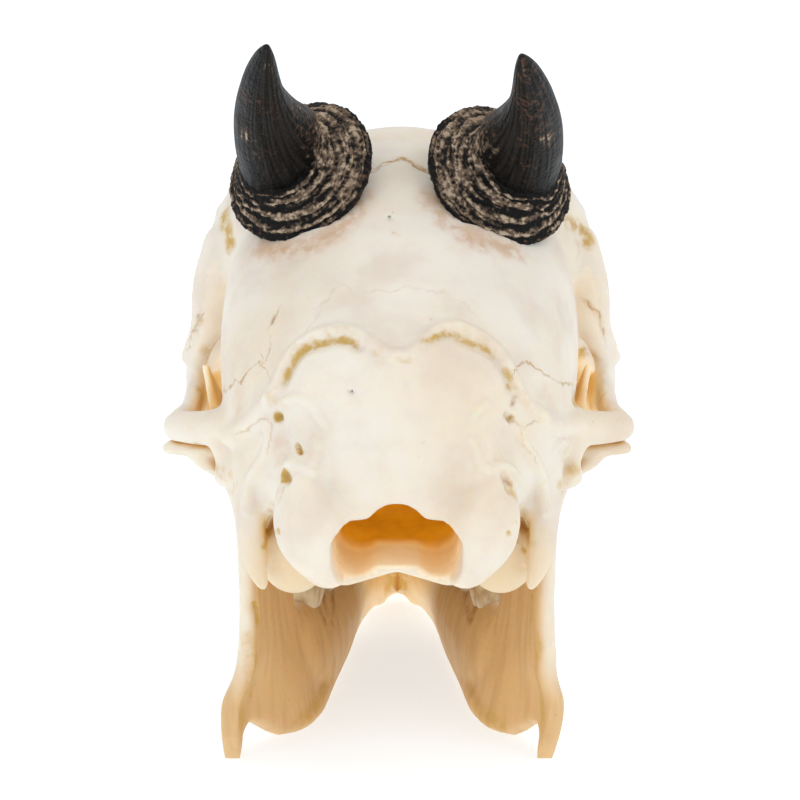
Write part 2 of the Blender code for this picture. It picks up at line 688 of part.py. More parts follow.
def horn_ring(along, radius, side):
    """Returns one ring of points across the horn, whose claw stands nearer the outer edge of its foot."""
    step = 0.01
    heading = (horn_path(min(1.0, along + step), side) - horn_path(max(0.0, along - step), side)).normalized()
    level = HORN_FOOT_AXIS.cross(Vector((0.0, 0.0, 1.0)))
    across = (level - heading * level.dot(heading)).normalized()
    up = heading.cross(across)
    foot_share = HORN_FOOT_HEIGHT / (HORN_TIPS[side] - HORN_FEET[side]).length
    rise = min(1.0, along / foot_share)
    shift = HORN_CLAW_SHIFT * rise ** 2 * (3 - 2 * rise) * min(1.0, (1 - along) / (1 - foot_share)) ** 2
    centre = horn_path(along, side) + level.normalized() * shift
    turns = (2 * math.pi * step / HORN_SIDES for step in range(HORN_SIDES))
    return [centre + (across * math.cos(turn) + up * math.sin(turn)) * radius for turn in turns]


def make_horn(name, side, cranium):
    """Makes one horn sheath: the ringed foot, the claw, and an underside that clears the bone by a hair."""
    foot_share = HORN_FOOT_HEIGHT / (HORN_TIPS[side] - HORN_FEET[side]).length
    rings = [horn_ring(0.0, HORN_FOOT_RADIUS - 1.2, side)]
    for ring in range(HORN_RINGS):
        share = (ring + 0.5) / HORN_RINGS
        flare = HORN_STEM_RADIUS + (HORN_FOOT_RADIUS - HORN_STEM_RADIUS) * (1 - share) ** HORN_FLARE
        rings.append(horn_ring(foot_share * (share - 0.06), flare, side))
        rings.append(horn_ring(foot_share * (share + 0.06), flare - HORN_RING_DEPTH, side))
    for step in range(1, CLAW_STEPS):
        share = step / CLAW_STEPS
        radius = HORN_STEM_RADIUS * (1 - share) ** CLAW_TAPER
        rings.append(horn_ring(foot_share + (1 - foot_share) * share, radius, side))
    rings.append(horn_ring(0.995, HORN_TIP_RADIUS, side))
    shape = bmesh.new()
    add_ring_body(shape, rings)
    for vert in shape.verts:
        vert.co.x *= side
    horn = object_from(name, shape)
    clearance = link_mesh("bone_clearance", cranium.data.copy())
    swell = clearance.modifiers.new("swell", "DISPLACE")
    swell.strength = TOUCHING_GAP * MM
    swell.mid_level = 0.0
    bake(clearance)
    cut(horn, clearance)
    keep_main_body(horn)
    return horn


def row_line(upper, y):
    """Returns X, biting height and gum height of a tooth row at one Y."""
    if upper:
        x = float(np.interp(y, (-22.0, -6.0, 10.0, 24.0), (10.4, 13.4, 16.9, 18.4)))
        bite = float(np.interp(y, (-24.0, 26.0), (19.9, 23.0)))
        return x, bite, bite + 5.4
    x = jaw_outward(y, 15.0)
    bite = float(np.interp(y, (-24.0, 26.0), (19.6, 22.7)))
    return x, bite, bite - 5.6


def make_cheek_tooth(name, upper, side, y, length, half_width):
    """Makes one cheek tooth: a root block, a waist at the gum and a crown that comes to a low ridge."""
    x, bite, gum = row_line(upper, y)
    slant = (row_line(upper, y + 1.0)[0] - row_line(upper, y - 1.0)[0]) / 2
    away = 1.0 if upper else -1.0
    rings = []
    for level, share in (
        (gum + away * ROOT_DEPTH, 0.66),
        (gum, 0.84),
        (gum + (bite - gum) * 0.55, 1.0),
        (bite + away * 0.5, 0.9),
    ):
        ring = []
        for turn in range(TOOTH_SIDES):
            angle = 2 * math.pi * (turn + 0.5) / TOOTH_SIDES
            across = half_width * share * math.sin(angle) / math.cos(math.pi / TOOTH_SIDES)
            along = length / 2 * share * math.cos(angle) / math.cos(math.pi / TOOTH_SIDES)
            ring.append((x + across + along * slant, y + along, level))
        rings.append(ring)
    shape = bmesh.new()
    add_ring_body(shape, rings)
    biting_face = shape.faces[:][-1]
    hollow = bmesh.ops.poke(shape, faces=[biting_face])["verts"][0]
    hollow.co.z = (bite + away * 1.3) * MM
    lean = float(np.interp(y, *FACE_LEAN)) if upper else 0.0
    for vert in shape.verts:
        vert.co.x = vert.co.x * side + lean * MM
    return object_from(name, shape)


def make_cheek_teeth():
    """Makes both cheek tooth rows of both jaws."""
    teeth = []
    for upper in (True, False):
        jaw = "upper" if upper else "lower"
        for side, side_name in ((1, "left"), (-1, "right")):
            y = TOOTH_ROW_FRONT
            for tooth_name, length in zip(CHEEK_TOOTH_NAMES, CHEEK_TOOTH_LENGTHS):
                half_width = (3.0 if upper else 2.0) + (1.4 if upper else 0.9) * (length - 6.0) / 4.6
                middle = y + length / 2
                name = f"{jaw}_{tooth_name}_{side_name}"
                teeth.append(make_cheek_tooth(name, upper, side, middle, length, half_width))
                y += length + TOOTH_SPACING
    return teeth


def make_front_teeth():
    """Makes the arc of four spatula teeth on each side of the lower jaw's tip."""
    teeth = []
    for side, side_name in ((1, "left"), (-1, "right")):
        for tooth_name, root_x, tip_x, tip_y, width in FRONT_TEETH:
            half = width / 2
            rings = []
            for x, y, z, wide, thick in (
                (root_x, tip_y + 7.0, FRONT_TOOTH_TIP_Z - 7.4, 0.5, 0.6),
                (root_x, tip_y + 4.6, FRONT_TOOTH_TIP_Z - 4.4, 0.7, 0.8),
                (tip_x, tip_y + 1.0, FRONT_TOOTH_TIP_Z - 1.4, half, 0.7),
                (tip_x, tip_y, FRONT_TOOTH_TIP_Z, half * 0.94, 0.3),
            ):
                ring = []
                for turn in range(FRONT_TOOTH_SIDES):
                    angle = 2 * math.pi * turn / FRONT_TOOTH_SIDES
                    rise = thick * math.sin(angle)
                    ring.append((x + wide * math.cos(angle), y + rise * 0.7, z + rise * 0.7))
                rings.append(ring)
            shape = bmesh.new()
            add_ring_body(shape, rings)
            for vert in shape.verts:
                vert.co.x *= side
            teeth.append(object_from(f"{tooth_name}_{side_name}", shape))
    return teeth


def cut_socket(bone, tooth):
    """Cuts the tooth's socket into the bone, a hair wider than its root."""
    socket = link_mesh("socket", tooth.data.copy())
    swell = socket.modifiers.new("swell", "DISPLACE")
    swell.strength = TOUCHING_GAP * MM
    swell.mid_level = 0.0
    bake(socket)
    cut(bone, socket)


def paint(things, material):
    """Gives a list of pieces one material."""
    for thing in things:
        thing.data.materials.clear()
        thing.data.materials.append(material)


def build_skull():
    """Makes every piece of the skull."""
    clear_scene()
    cranium = make_cranium()
    jaws = [make_mandible("mandible_left", 1), make_mandible("mandible_right", -1)]
    horns = [make_horn("horn_sheath_left", 1, cranium), make_horn("horn_sheath_right", -1, cranium)]
    cheek_teeth = make_cheek_teeth()
    front_teeth = make_front_teeth()
    for tooth in cheek_teeth:
        if tooth.name.startswith("upper"):
            cut_socket(cranium, tooth)
        else:
            cut_socket(jaws[0] if tooth.name.endswith("left") else jaws[1], tooth)
    for tooth in front_teeth:
        cut_socket(jaws[0] if tooth.name.endswith("left") else jaws[1], tooth)
    paint([cranium], finish("dry_bone", BONE_COLOUR, 0.55))
    paint(jaws, finish("dry_jaw_bone", JAW_COLOUR, 0.5))
    paint(cheek_teeth + front_teeth, finish("tooth_enamel", TOOTH_COLOUR, 0.25))
    paint(horns, finish("horn_keratin", HORN_COLOUR, 0.6))


build_skull()
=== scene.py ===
"""The looks of a red duiker skull: bone, jaw halves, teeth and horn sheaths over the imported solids.

The snout points to -Y, the left side is +X and the floor is Z = 0. Shapes are given in millimetres, and MM turns them
to metres. Every bone starts as rings and beads that are fused into one skin, which is hollowed and carved by strokes.
"""

import math

import bmesh
import bpy
import numpy as np
from bpy.props import FloatProperty, FloatVectorProperty, IntProperty, PointerProperty
from mathutils import Matrix, Vector, noise
from mathutils.bvhtree import BVHTree


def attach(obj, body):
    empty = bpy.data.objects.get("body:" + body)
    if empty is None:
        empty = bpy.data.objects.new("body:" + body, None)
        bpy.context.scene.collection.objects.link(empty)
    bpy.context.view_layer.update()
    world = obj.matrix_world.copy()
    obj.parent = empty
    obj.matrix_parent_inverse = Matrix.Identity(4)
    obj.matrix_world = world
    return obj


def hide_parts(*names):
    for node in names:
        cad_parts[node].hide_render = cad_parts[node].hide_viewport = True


bl_info = {
    "name": "Red Duiker Skull",
    "version": (1, 0, 0),
    "blender": (4, 5, 0),
    "location": "3D View > Sidebar > Skull",
    "description": "Builds a cleaned antelope skull with its lower jaw, teeth and horn sheaths",
    "category": "Add Mesh",
}

MM = 0.001
SIDES = ((1, "left"), (-1, "right"))

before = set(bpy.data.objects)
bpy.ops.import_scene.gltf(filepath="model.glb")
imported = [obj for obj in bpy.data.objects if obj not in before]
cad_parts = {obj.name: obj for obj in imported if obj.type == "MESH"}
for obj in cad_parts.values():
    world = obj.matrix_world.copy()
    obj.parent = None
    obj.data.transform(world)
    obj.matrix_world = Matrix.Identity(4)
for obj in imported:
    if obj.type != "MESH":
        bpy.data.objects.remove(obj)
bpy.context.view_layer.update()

# Camera: behind the skull and a little above it
CAMERA_TARGET = Vector((-0.46, 20.0, 48.5))
CAMERA_DISTANCE = 650.0
CAMERA_ELEVATION = math.radians(15.0)
CAMERA_LENS = 190.1
CAMERA_SENSOR = 36.0
CAMERA_BACK = Vector((0.0, math.cos(CAMERA_ELEVATION), math.sin(CAMERA_ELEVATION)))
PHOTO_SIZE = 800

# Light boxes: name, place and size in metres, and power in watts
SOFTBOXES = (
    ("key_softbox", (-0.55, 0.45, 0.75), 0.45, 1.35),
    ("fill_softbox", (0.55, 0.65, 0.4), 0.6, 0.9),
    ("top_softbox", (0.1, -0.1, 0.95), 0.7, 0.75),
)
SOFTBOX_TARGET = Vector((0.0, 0.02, 0.05))

# Horn sheath
# The right horn stands a little further out and leans back less than the left one
HORN_FEET = {1: Vector((14.4, 33.6, 87.3)), -1: Vector((15.3, 33.6, 86.7))}
HORN_TIPS = {1: Vector((18.2, 62.0, 111.4)), -1: Vector((17.5, 60.0, 109.7))}
HORN_FOOT_AXIS = Vector((0.42, 0.64, 0.62)).normalized()
HORN_FOOT_RADIUS = 11.7
HORN_STEM_RADIUS = 5.9
HORN_FOOT_HEIGHT = 4.4
HORN_CLAW_SHIFT = 2.1
HORN_BEND = 0.45
HORN_FLARE = 1.2
HORN_TAPER = 0.75
HORN_TIP_RADIUS = 0.7
HORN_RINGS = 4.6
HORN_SHOULDER = Vector((-0.7, -0.18, 0.68)).normalized()
HORN_SHOULDER_RISE = 2.6
# Shares of the foot where its smooth rim ends, and where the clean black collar round the claw starts
HORN_RIM_END = 0.06
HORN_COLLAR_START = 0.86
# How far the rings wander, in rings, how many layers the foot has, and how many streaks run up each side
HORN_WANDER = 0.55
HORN_LAYERS = 24
HORN_STREAKS = 12

# Under the horn's rim: place along the horn, and how much narrower it is there
HORN_UNDERSIDE = ((-0.12, 4.0), (-0.09, 1.6), (-0.05, 0.4))

# Cheek teeth, from the front premolar to the last molar: length along the row
CHEEK_TOOTH_NAMES = ("premolar_2", "premolar_3", "premolar_4", "molar_1", "molar_2", "molar_3")
CHEEK_TOOTH_LENGTHS = (6.0, 6.8, 7.0, 8.4, 9.6, 10.6)
CHEEK_TOOTH_SPREAD = 4.6
# Half the width of the shortest tooth, and how much wider the longest one is
UPPER_HALF_WIDTH = (3.0, 1.4)
LOWER_HALF_WIDTH = (2.0, 0.9)
TOOTH_ROW_FRONT = -26.0
TOOTH_ROW_HEIGHT = 15
TOOTH_SPACING = 0.35

# The rows of cheek teeth: places along Y, with the upper row's X and both rows' biting heights there
UPPER_ROW = ((-22, -6, 10, 24), (10.4, 13.4, 16.9, 18.4))
UPPER_BITE = ((-24, 26), (19.9, 23.0))
LOWER_BITE = ((-24, 26), (19.6, 22.7))
UPPER_CROWN = 5.4
LOWER_CROWN = 5.6

# A cheek tooth, from its roots to the middle of its biting face: height past the gum or the bite, share of the full
# size, and share of the flutes' depth
TOOTH_ROOTS = ((2.4, 0.62, 0.3), (0.8, 0.78, 0.6), (0, 0.86, 0.8))
TOOTH_CROWN_STEPS = 6
TOOTH_EDGE = ((0.12, 0.92, 1.0), (0.1, 0.80, 0.9))
TOOTH_FACE = ((0.66, 0.8), (0.5, 0.6), (0.34, 0.4), (0.18, 0.2), (0.05, 0.0))
TOOTH_FLUTE = 0.17
TOOTH_SQUARENESS = 3.2

# Front teeth of the lower jaw: name, X of the root, X and Y of the tip, and width
FRONT_TEETH = (
    ("incisor_1", 1.3, 2.35, -75.4, 4.3),
    ("incisor_2", 2.5, 5.95, -74.4, 2.5),
    ("incisor_3", 3.7, 8.05, -72.6, 2),
    ("canine", 4.7, 9.75, -70.4, 1.7),
)
FRONT_TOOTH_TIP_Z = 24.0

# The face is a little out of line with the nape: two places along the skull and how far it is off to one side
FACE_LEAN = ((20, 62), (-0.6, 0))

# Cross-sections of the upper skull: Y, half width, lowest, middle and highest Z, roundness above and below
VAULT_RINGS = (
    (70.8, 8, 42, 48, 54, 2, 2),
    (68.6, 13, 39, 50, 61.5, 2, 2),
    (66.2, 16.6, 37.5, 51, 66.8, 2.3, 2),
    (64.4, 18.2, 36.5, 51, 68.6, 2.3, 2),
    (61, 20.8, 35.5, 51.5, 70.8, 2.2, 2),
    (56.5, 23.6, 34.5, 52, 74, 2.1, 2),
    (50, 25.2, 34.5, 54, 78.6, 2.1, 2),
    (42, 26.3, 35.5, 57, 83.2, 2.1, 2),
    (34, 26.8, 36.5, 60.5, 87, 2.2, 2),
    (26, 26.2, 37.5, 63, 89.3, 2.2, 2),
    (20, 23.8, 37.5, 64, 90, 2.2, 2),
    (13, 21, 37, 64, 89.6, 2.2, 2),
    (4, 19.5, 36, 62, 88, 2.2, 2),
    (-6, 19, 33, 56, 83, 2.2, 2),
    (-14, 17, 30, 50, 76, 2.2, 2),
)
BROW_RINGS = (
    (27, 24.5, 62, 69, 89.2, 2.3, 2),
    (22.5, 27.8, 64, 70.5, 89.8, 2.1, 2),
    (18, 29.2, 66, 72, 90, 2, 2),
    (11, 28.6, 67, 73.5, 89.3, 2, 2),
    (3, 27.2, 67, 74, 87.4, 2, 2),
    (-5, 26.8, 62, 71.5, 83.8, 2, 2),
    (-13, 24.8, 50, 64, 78.4, 2, 2),
    (-20, 21.6, 42, 56, 73.2, 2, 2),
    (-27, 17.8, 36, 49, 68.4, 2, 2),
    (-35, 13.8, 32, 43, 63.2, 2, 2),
)
SNOUT_RINGS = (
    (-4, 19, 29, 46, 76, 2, 2.6),
    (-12, 19.6, 27.6, 44, 74.6, 1.9, 2.8),
    (-20, 18, 26.6, 42, 72, 1.9, 3),
    (-30, 15.6, 26, 40, 66.6, 2, 3),
    (-38, 13, 25.6, 39, 61.8, 2.1, 3),
    (-46, 11, 25.4, 38, 57.2, 2.2, 3),
    (-54, 9.8, 25.2, 37, 52.8, 2.3, 3),
    (-59, 9, 25.4, 37, 50, 2.4, 3),
)

# Limbs of the upper skull, each on both sides: beads of X, Y, Z and three radii
PAIRED_LIMBS = {
    "nasal_tip": ((3.6, -55, 50, 4.2, 4, 2.2), (3, -65.5, 45.4, 2.2, 2.4, 1.4)),
    "snout_tip": (
        (8, -52, 29, 2.8, 4, 3.4),
        (7.2, -61, 28.4, 2.5, 3.5, 2.6),
        (6.4, -69, 27.4, 2.8, 3, 2),
        (3.8, -73.8, 26.8, 3.4, 2.4, 1.7),
    ),
    "snout_wing": (
        (6.8, -68, 29.6, 1.7, 2.2, 2.2),
        (8.4, -60, 37.4, 1.5, 2.6, 3),
        (8.4, -54, 45.4, 1.6, 3, 3),
    ),
    "palate_tongue": ((2, -70, 26.8, 1.7, 3, 1.2), (1.6, -54, 26.8, 1.5, 4, 1.4)),
    "cheek_arch": (
        (19, -20, 42, 5, 6, 6),
        (25.8, -11, 43.4, 3.2, 5, 5.6),
        (30.2, 0, 44.6, 2.3, 5, 5),
        (31.3, 11, 47.2, 1.9, 4, 4.4),
        (31.4, 22, 49.6, 1.6, 4, 3.6),
        (31.8, 31, 49.4, 1.5, 3.4, 2.4),
        (32.8, 39.6, 50.2, 1.8, 3, 2.2),
    ),
    "joint_shelf": (
        (33, 41.8, 50.3, 2.2, 3, 2.2),
        (28, 44.4, 50.8, 2.8, 3.4, 2.6),
        (23.6, 49, 53.4, 2.4, 3.6, 2.4),
        (21.2, 54.4, 56.6, 1.8, 2, 1.8),
    ),
    "joint_stop": ((26, 46.6, 49.4, 2, 1.8, 2.4), (25.8, 46.8, 46.6, 1.4, 1.3, 1.6)),
    "eye_bar": (
        (26.8, 20, 73, 3.4, 3, 3.4),
        (28.8, 21.6, 67, 3, 2.6, 3.2),
        (29.6, 21.2, 61, 2.5, 2.6, 2.6),
        (31.2, 19.4, 55.6, 1.7, 3.2, 2.6),
        (31.6, 16.8, 50.4, 1.6, 4.2, 2.6),
    ),
    "bar_lip": ((31.4, 21.2, 60.4, 0.8, 1.2, 1.2), (33.3, 20.4, 55.2, 0.6, 1, 0.7)),
    "temple_web": (
        (26.6, 19.5, 70, 3.4, 3.4, 4),
        (27.4, 20.6, 65, 2.8, 2.6, 3),
        (26.8, 20.2, 60.8, 2.8, 2.2, 2.4),
    ),
    "eye_floor": (
        (20.5, -12, 43.4, 4, 4, 3.6),
        (26.8, -8, 48.6, 3.6, 3.4, 4.8),
        (29.2, -1, 46.8, 2.8, 4, 3.6),
        (28.2, 4, 46.2, 3.2, 5, 2.2),
    ),
    "eye_rim": (
        (24.6, -11.5, 48, 2.2, 2.4, 3),
        (24.4, -13, 57, 2, 2.4, 3),
        (24.8, -10.5, 66, 2, 2.4, 3),
        (25.8, -4, 73, 2, 3, 2.2),
        (26.8, 5, 74.6, 2, 3, 2),
        (27, 14, 74.2, 2, 3, 2),
        (28.2, 19, 71.6, 2, 3, 2),
    ),
    "condyle": (
        (12.4, 65.2, 52.4, 3.6, 4.6, 4),
        (13.2, 68, 46.6, 4.2, 6.6, 4.4),
        (12.2, 70.4, 42.6, 5.2, 5.8, 5.4),
        (9.8, 70.6, 38.2, 3.9, 5, 3.9),
    ),
    "ear_spike": (
        (20.8, 55.6, 48, 3.4, 4, 5),
        (21.3, 58, 41, 2.3, 2.8, 3),
        (20.8, 59.6, 35.4, 1.9, 2, 2.2),
        (19.6, 60.2, 31.5, 1, 1.1, 1.1),
    ),
    "ear_capsule": ((14.6, 45, 36, 4.6, 6, 6.8), (15.2, 53, 34.8, 5.6, 6.4, 6.8)),
    "ear_tube": (
        (19, 48.6, 46, 4, 4.6, 4),
        (24.2, 47.4, 44.8, 2.6, 2.6, 2.8),
        (26.4, 47, 44, 1.1, 1.5, 1.3),
    ),
    "sill": ((0, 66, 36.9, 2, 2.8, 1.3), (7.6, 66, 34.6, 2.4, 2.8, 1.3)),
    "canal_side": ((9.6, 55.5, 35.4, 4, 4, 3.4), (9.6, 61.5, 35.4, 4, 4, 3.4)),
    "tooth_ridge": (
        (10.2, -27, 29.6, 3.4, 4, 4.6),
        (13.2, -8, 31, 4.6, 5, 5.4),
        (16.8, 10, 32.4, 5.2, 6, 6),
        (18, 20.6, 33.6, 4.8, 4.6, 6.4),
    ),
    "tooth_ridge_outer": ((20, -8, 40, 4, 8, 7), (19.6, 12, 38, 3.4, 8, 6)),
    "throat_wing": (
        (9, 8, 32, 2, 5, 4),
        (8.2, 22, 33, 1.3, 5, 5),
        (7.4, 33, 33.4, 1.2, 3, 4.4),
    ),
    "behind_palate": ((12, 6, 35, 5, 6, 5), (11, 20, 38, 5, 6, 4)),
}
MIDDLE_LIMBS = {
    "skull_floor": (
        (0, 63, 36.2, 6, 2.6, 1.8),
        (0, 55, 35.2, 6.4, 4, 2.6),
        (0, 42, 34, 5.4, 5, 3.2),
        (0, 27, 36.6, 5, 6, 3.6),
    ),
}
PEDICLE_DEPTH = 12.0
PEDICLE_TOP = 4.4
PEDICLE_RADII = (10.5, 10.5, 7)
PEDICLE_TOP_RADII = (8.4, 8, 5)

# Hollows of the upper skull
BRAIN_BEADS = (
    (0, 26, 65, 19, 9, 18),
    (0, 40, 61, 22.6, 15, 19),
    (0, 54, 52, 14, 6, 12),
)
NAPE_HOLE_RINGS = (
    (50, 10, 38.6, 46, 54, 2.2, 2.6),
    (60, 9, 37.4, 41.6, 46.6, 3, 3.6),
    (68, 9.2, 36.9, 40.4, 44.4, 4.5, 5),
    (82, 9.6, 36.4, 39.8, 43.9, 4.5, 5),
)
NAPE_HOLE_SIDES = ((5.8, 58, 38.6, 2.8, 3, 2.8), (6.2, 82, 37.4, 3, 3, 2.6))
NAPE_HOLE_ARCH = ((0, 62, 43.6, 4, 3, 3.5), (0, 80, 42.8, 4, 3, 3.4))
NAPE_HOLE_CORNERS = ((7, 58, 41.4, 2.4, 3, 2.4), (7.2, 82, 41.2, 2.4, 3, 2.4))
EYE_HOLLOW = (30.4, 2.6, 61.4, 15.6, 15, 12.6)
NOSE_RINGS = (
    (-84, 5.6, 28.6, 36, 45, 2.4, 2.4),
    (-66, 6.2, 28.8, 36, 43, 2.4, 2.4),
    (-58, 6.8, 28.8, 37, 46.6, 2.4, 2.4),
    (-46, 7.8, 28.8, 38, 52.8, 2.3, 2.6),
    (-30, 10.4, 29.4, 40, 60.4, 2.2, 2.8),
    (-14, 11.6, 31.4, 43, 62, 2.2, 2.8),
    (-4, 8, 34, 42, 54, 2, 2),
)
THROAT_BEADS = (
    (0, -8, 36, 6, 5, 3.8),
    (0, 10, 33.6, 5.4, 6, 3.8),
    (0, 24, 30.6, 5.6, 8, 3.2),
    (0, 40, 26.5, 5.6, 8, 3.6),
)
PALATE_BEADS = ((0, -44, 24, 5, 6, 2.4), (0, -20, 24, 6.2, 8, 3.4), (0, 4, 25.4, 9, 8, 3.8))
PALATE_SLOTS = ((4, -67, 27, 1.2, 2, 6), (4.8, -56, 27, 1.4, 2, 6))
NOSE_SCROLLS = (
    ((5.6, -50, 38, 1, 2, 2.6), (7, -34, 40, 1.6, 6, 4), (7.4, -20, 42, 1.4, 4, 3.6)),
    ((3.6, -48, 47, 0.9, 2, 2), (4.4, -32, 53, 1.2, 5, 4), (4.6, -18, 56, 1.2, 4, 4)),
)
NOSE_PARTITION = (
    (0, -52, 30, 0.7, 2, 2),
    (0, -34, 38, 0.7, 4, 9),
    (0, -14, 46, 0.7, 4, 14),
)

# Egg-shaped places of the bones, the same on both sides of the skull: the middle and the reach
PLACES = {
    "braincase": ((0, 42, 54), (27, 25, 30)),
    "temple": ((28.5, 8, 49), (9, 21, 12)),
    "eye_bar": ((29, 20, 66), (8, 14, 15)),
    "sill": ((0, 64, 37), (16, 12, 9)),
    "underside": ((13, 56, 32), (15, 22, 12)),
    "chin": ((0, -25, 8), (20, 24, 19)),
    "muscle_process": ((28, 33, 52), (9, 14, 16)),
}

# How wide the full middle of a place is: 1 is a point, and more is wider
BRAINCASE_FILL = 2.3
PALE_FILL = 1.6

# How strongly each place glows: painted light that stands in for light soaking through thin bone and bouncing into
# shaded parts
TEMPLE_GLOW = 0.5
BAR_GLOW = 0.16
SILL_GLOW = 0.3
CHIN_GLOW = 0.36
PROCESS_GLOW = 0.34

# The painted glow shows only where the bone is shut in: how fast that rises, and how much is taken off first
SHUT_IN_SLOPE = 3
BRAINCASE_SHUT_IN = 0.7
TEMPLE_SHUT_IN = 0.6
PAINTED_GLOW_RECESS = 0.2

# The eye bars and the sill lose this share of their painted hollow shade, and the chin this share of its inner tan,
# which paints them lighter where more light falls; the underside is as tan as this
HOLLOW_PALER = 0.7
CHIN_PALER = 0.75
UNDERSIDE_TAN = 0.8

# Lower jaw half: how far out the blade lies at each Y, for seven heights
JAW_Y = (-76, -50, -30, -26, -14, 2, 14, 22, 28, 34, 38, 42, 48)
JAW_OUTWARD = {
    0: (2.2, 1.9, 3, 5, 7.8, 9.6, 11.2, 12.2, 13.2, 15.5, 19.2, 22.4, 25.2),
    8: (2.4, 2, 2.7, 5.3, 8, 10.2, 12.1, 13.4, 14.7, 17, 19.7, 22.8, 25.4),
    15: (2.6, 2.2, 2.3, 5.6, 8.2, 10.8, 13, 14.6, 16.2, 18.4, 19.9, 21.3, 22.8),
    28: (2.6, 2.2, 2.8, 5.6, 8.2, 10.8, 13, 16.5, 18.8, 20.2, 21, 21.8, 22.4),
    41: (2.6, 2.2, 2.8, 5.6, 8.2, 10.8, 16.8, 20.6, 22.9, 23.4, 23.6, 23.8, 23.8),
    46: (2.6, 2.2, 2.8, 5.6, 8.2, 10.8, 18.3, 22.6, 25.4, 26.1, 27.4, 28.6, 28.6),
    60: (2.6, 2.2, 2.8, 5.6, 8.2, 10.8, 20, 27, 29.4, 29.4, 28.8, 28.6, 28.6),
}
JAW_OUTLINE = (
    (-73.5, 18.5), (-66, 13), (-56, 7), (-44, 2.8), (-34, 0.4), (-28, 0), (-14, 0.6), (4, 0.6),
    (16, 0.2), (24, -0.5), (35, -0.6), (38, 1), (40.6, 3.4), (43.2, 4.4), (45.2, 3.4), (46.4, 0.6),
    (47.4, -0.6), (49, 3.5),
    (48.2, 10), (47.4, 20), (46.6, 30), (44.6, 37), (42.8, 41), (42.6, 45.4), (38.8, 45.4), (38.2, 42.6),
    (36.4, 41.6), (34.8, 44), (34.2, 50), (34.8, 54.5), (33.4, 57.6), (31.2, 57),
    (28.6, 53), (26.8, 47), (26.6, 38),
    (27.4, 27), (28, 17), (14, 15.4), (-6, 14), (-25.5, 12.8), (-30, 12), (-42, 12),
    (-54, 14.4), (-64, 18.2), (-73, 21.4),
)
JAW_LIMBS = {
    "tooth_body": (
        (0, 26, 11, 2.6, 4, 6.4),
        (0, 18, 8.8, 3.2, 4, 8),
        (0, 2, 7.8, 3.3, 4, 6.9),
        (0, -18, 7, 3, 4, 6),
        (0, -32, 6.2, 2.6, 4, 5.6),
        (0, -46, 7.6, 2.4, 4, 4.4),
        (0, -60, 12.6, 2.5, 4, 3.8),
        (0, -69, 17.6, 3, 3.4, 3.2),
    ),
    "chin_plate": (
        (-2, -31, 8, 3.2, 2.2, 3.4),
        (-2, -31, 4.2, 3.4, 2.2, 3.2),
        (-0.8, -46, 7.4, 1.8, 4, 4.6),
    ),
    "underside_roll": ((0, 34, 1, 1.6, 4, 1.6), (0, 18, 2.4, 2.2, 4, 2.4), (0, -20, 2.6, 2.2, 4, 2.4)),
    "joint_knob": ((-2, 41, 46.6, 2.4, 2.2, 1.4), (4.8, 40.8, 46.9, 2.2, 2, 1.2)),
    "neck": ((0.2, 41.4, 44.6, 2.4, 1.9, 1.8), (0, 42.6, 38, 1.6, 2.2, 3), (0, 45.6, 29, 1.5, 1.8, 3)),
    "rear_roll": ((0, 45.6, 29, 1.5, 1.8, 3), (0, 46.6, 14, 1.6, 1.8, 3), (0, 46.8, 3, 1.3, 1.7, 2.4)),
}
JAW_BLADE_THICKNESS = 2.7

# The jaw blade thins toward the tip of its muscle process: two heights and the share of its thickness there
JAW_THINNING = ((46, 55), (1, 0.4))
CHIN_GAP = 0.005

# The jaw's inner face is tan where it looks inward: how fast that rises, and how much is taken off first
INNER_FACE_SLOPE = 1.6
INNER_FACE_START = 0.2

# The rear corner of the jaw is tan below a height: two heights and the share of tan there, and where it starts
JAW_TAN_HEIGHT = ((9, 17), (0.85, 0))
JAW_TAN_START = 36.0

# The right half's rear corner is bent in: how far by height, and its share by length
RIGHT_CORNER_BEND = ((0, 16), (2.5, 0))
RIGHT_CORNER_REACH = ((36, 47), (0, 1))


def linear(hex_colour):
    """Turns an sRGB hex colour to a linear, opaque colour."""
    channels = [int(hex_colour[start:start + 2], 16) / 255 for start in (1, 3, 5)]
    return (*(c / 12.92 if c <= 0.04045 else ((c + 0.055) / 1.055) ** 2.4 for c in channels), 1.0)


def curve_through(points, steps):
    """Returns rows on a smooth curve that passes through the given rows of numbers."""
    rows = np.array(points, float)
    rows = np.vstack((2 * rows[0] - rows[1], rows, 2 * rows[-1] - rows[-2]))
    found = []
    for before, start, end, after in zip(rows, rows[1:], rows[2:], rows[3:]):
        for step in range(steps):
            t = step / steps
            found.append(
                start
                + (end - before) * t / 2
                + (before - 2.5 * start + 2 * end - after / 2) * t ** 2
                + (3 * (start - end) + after - before) * t ** 3 / 2
            )
    found.append(rows[-2])
    return np.array(found)


def close_tube(shape, circles):
    """Bridges a row of circles of points and closes both ends, with the edges in a fixed order."""
    loops = [list(dict.fromkeys(edge for vert in circle for edge in vert.link_edges)) for circle in circles]
    for near, far in zip(loops, loops[1:]):
        bmesh.ops.bridge_loops(shape, edges=near + far)
    for end in (loops[0], loops[-1]):
        bmesh.ops.edgeloop_fill(shape, edges=end)


def add_rings(shape, rings, sides=72, steps=3):
    """Bridges a row of rounded cross-sections of the skull and closes both ends."""
    circles = []
    for y, half_width, low, middle, high, top_power, low_power in curve_through(rings, steps):
        circle = bmesh.ops.create_circle(shape, segments=sides, radius=1.0)["verts"]
        for vert in circle:
            across, up = vert.co.x, vert.co.y
            power, reach = (top_power, high - middle) if up > 0 else (low_power, middle - low)
            x = half_width * math.copysign(abs(across) ** (2 / power), across)
            z = middle + reach * math.copysign(abs(up) ** (2 / power), up)
            vert.co = Vector((x, y, z)) * MM
        circles.append(circle)
    close_tube(shape, circles)


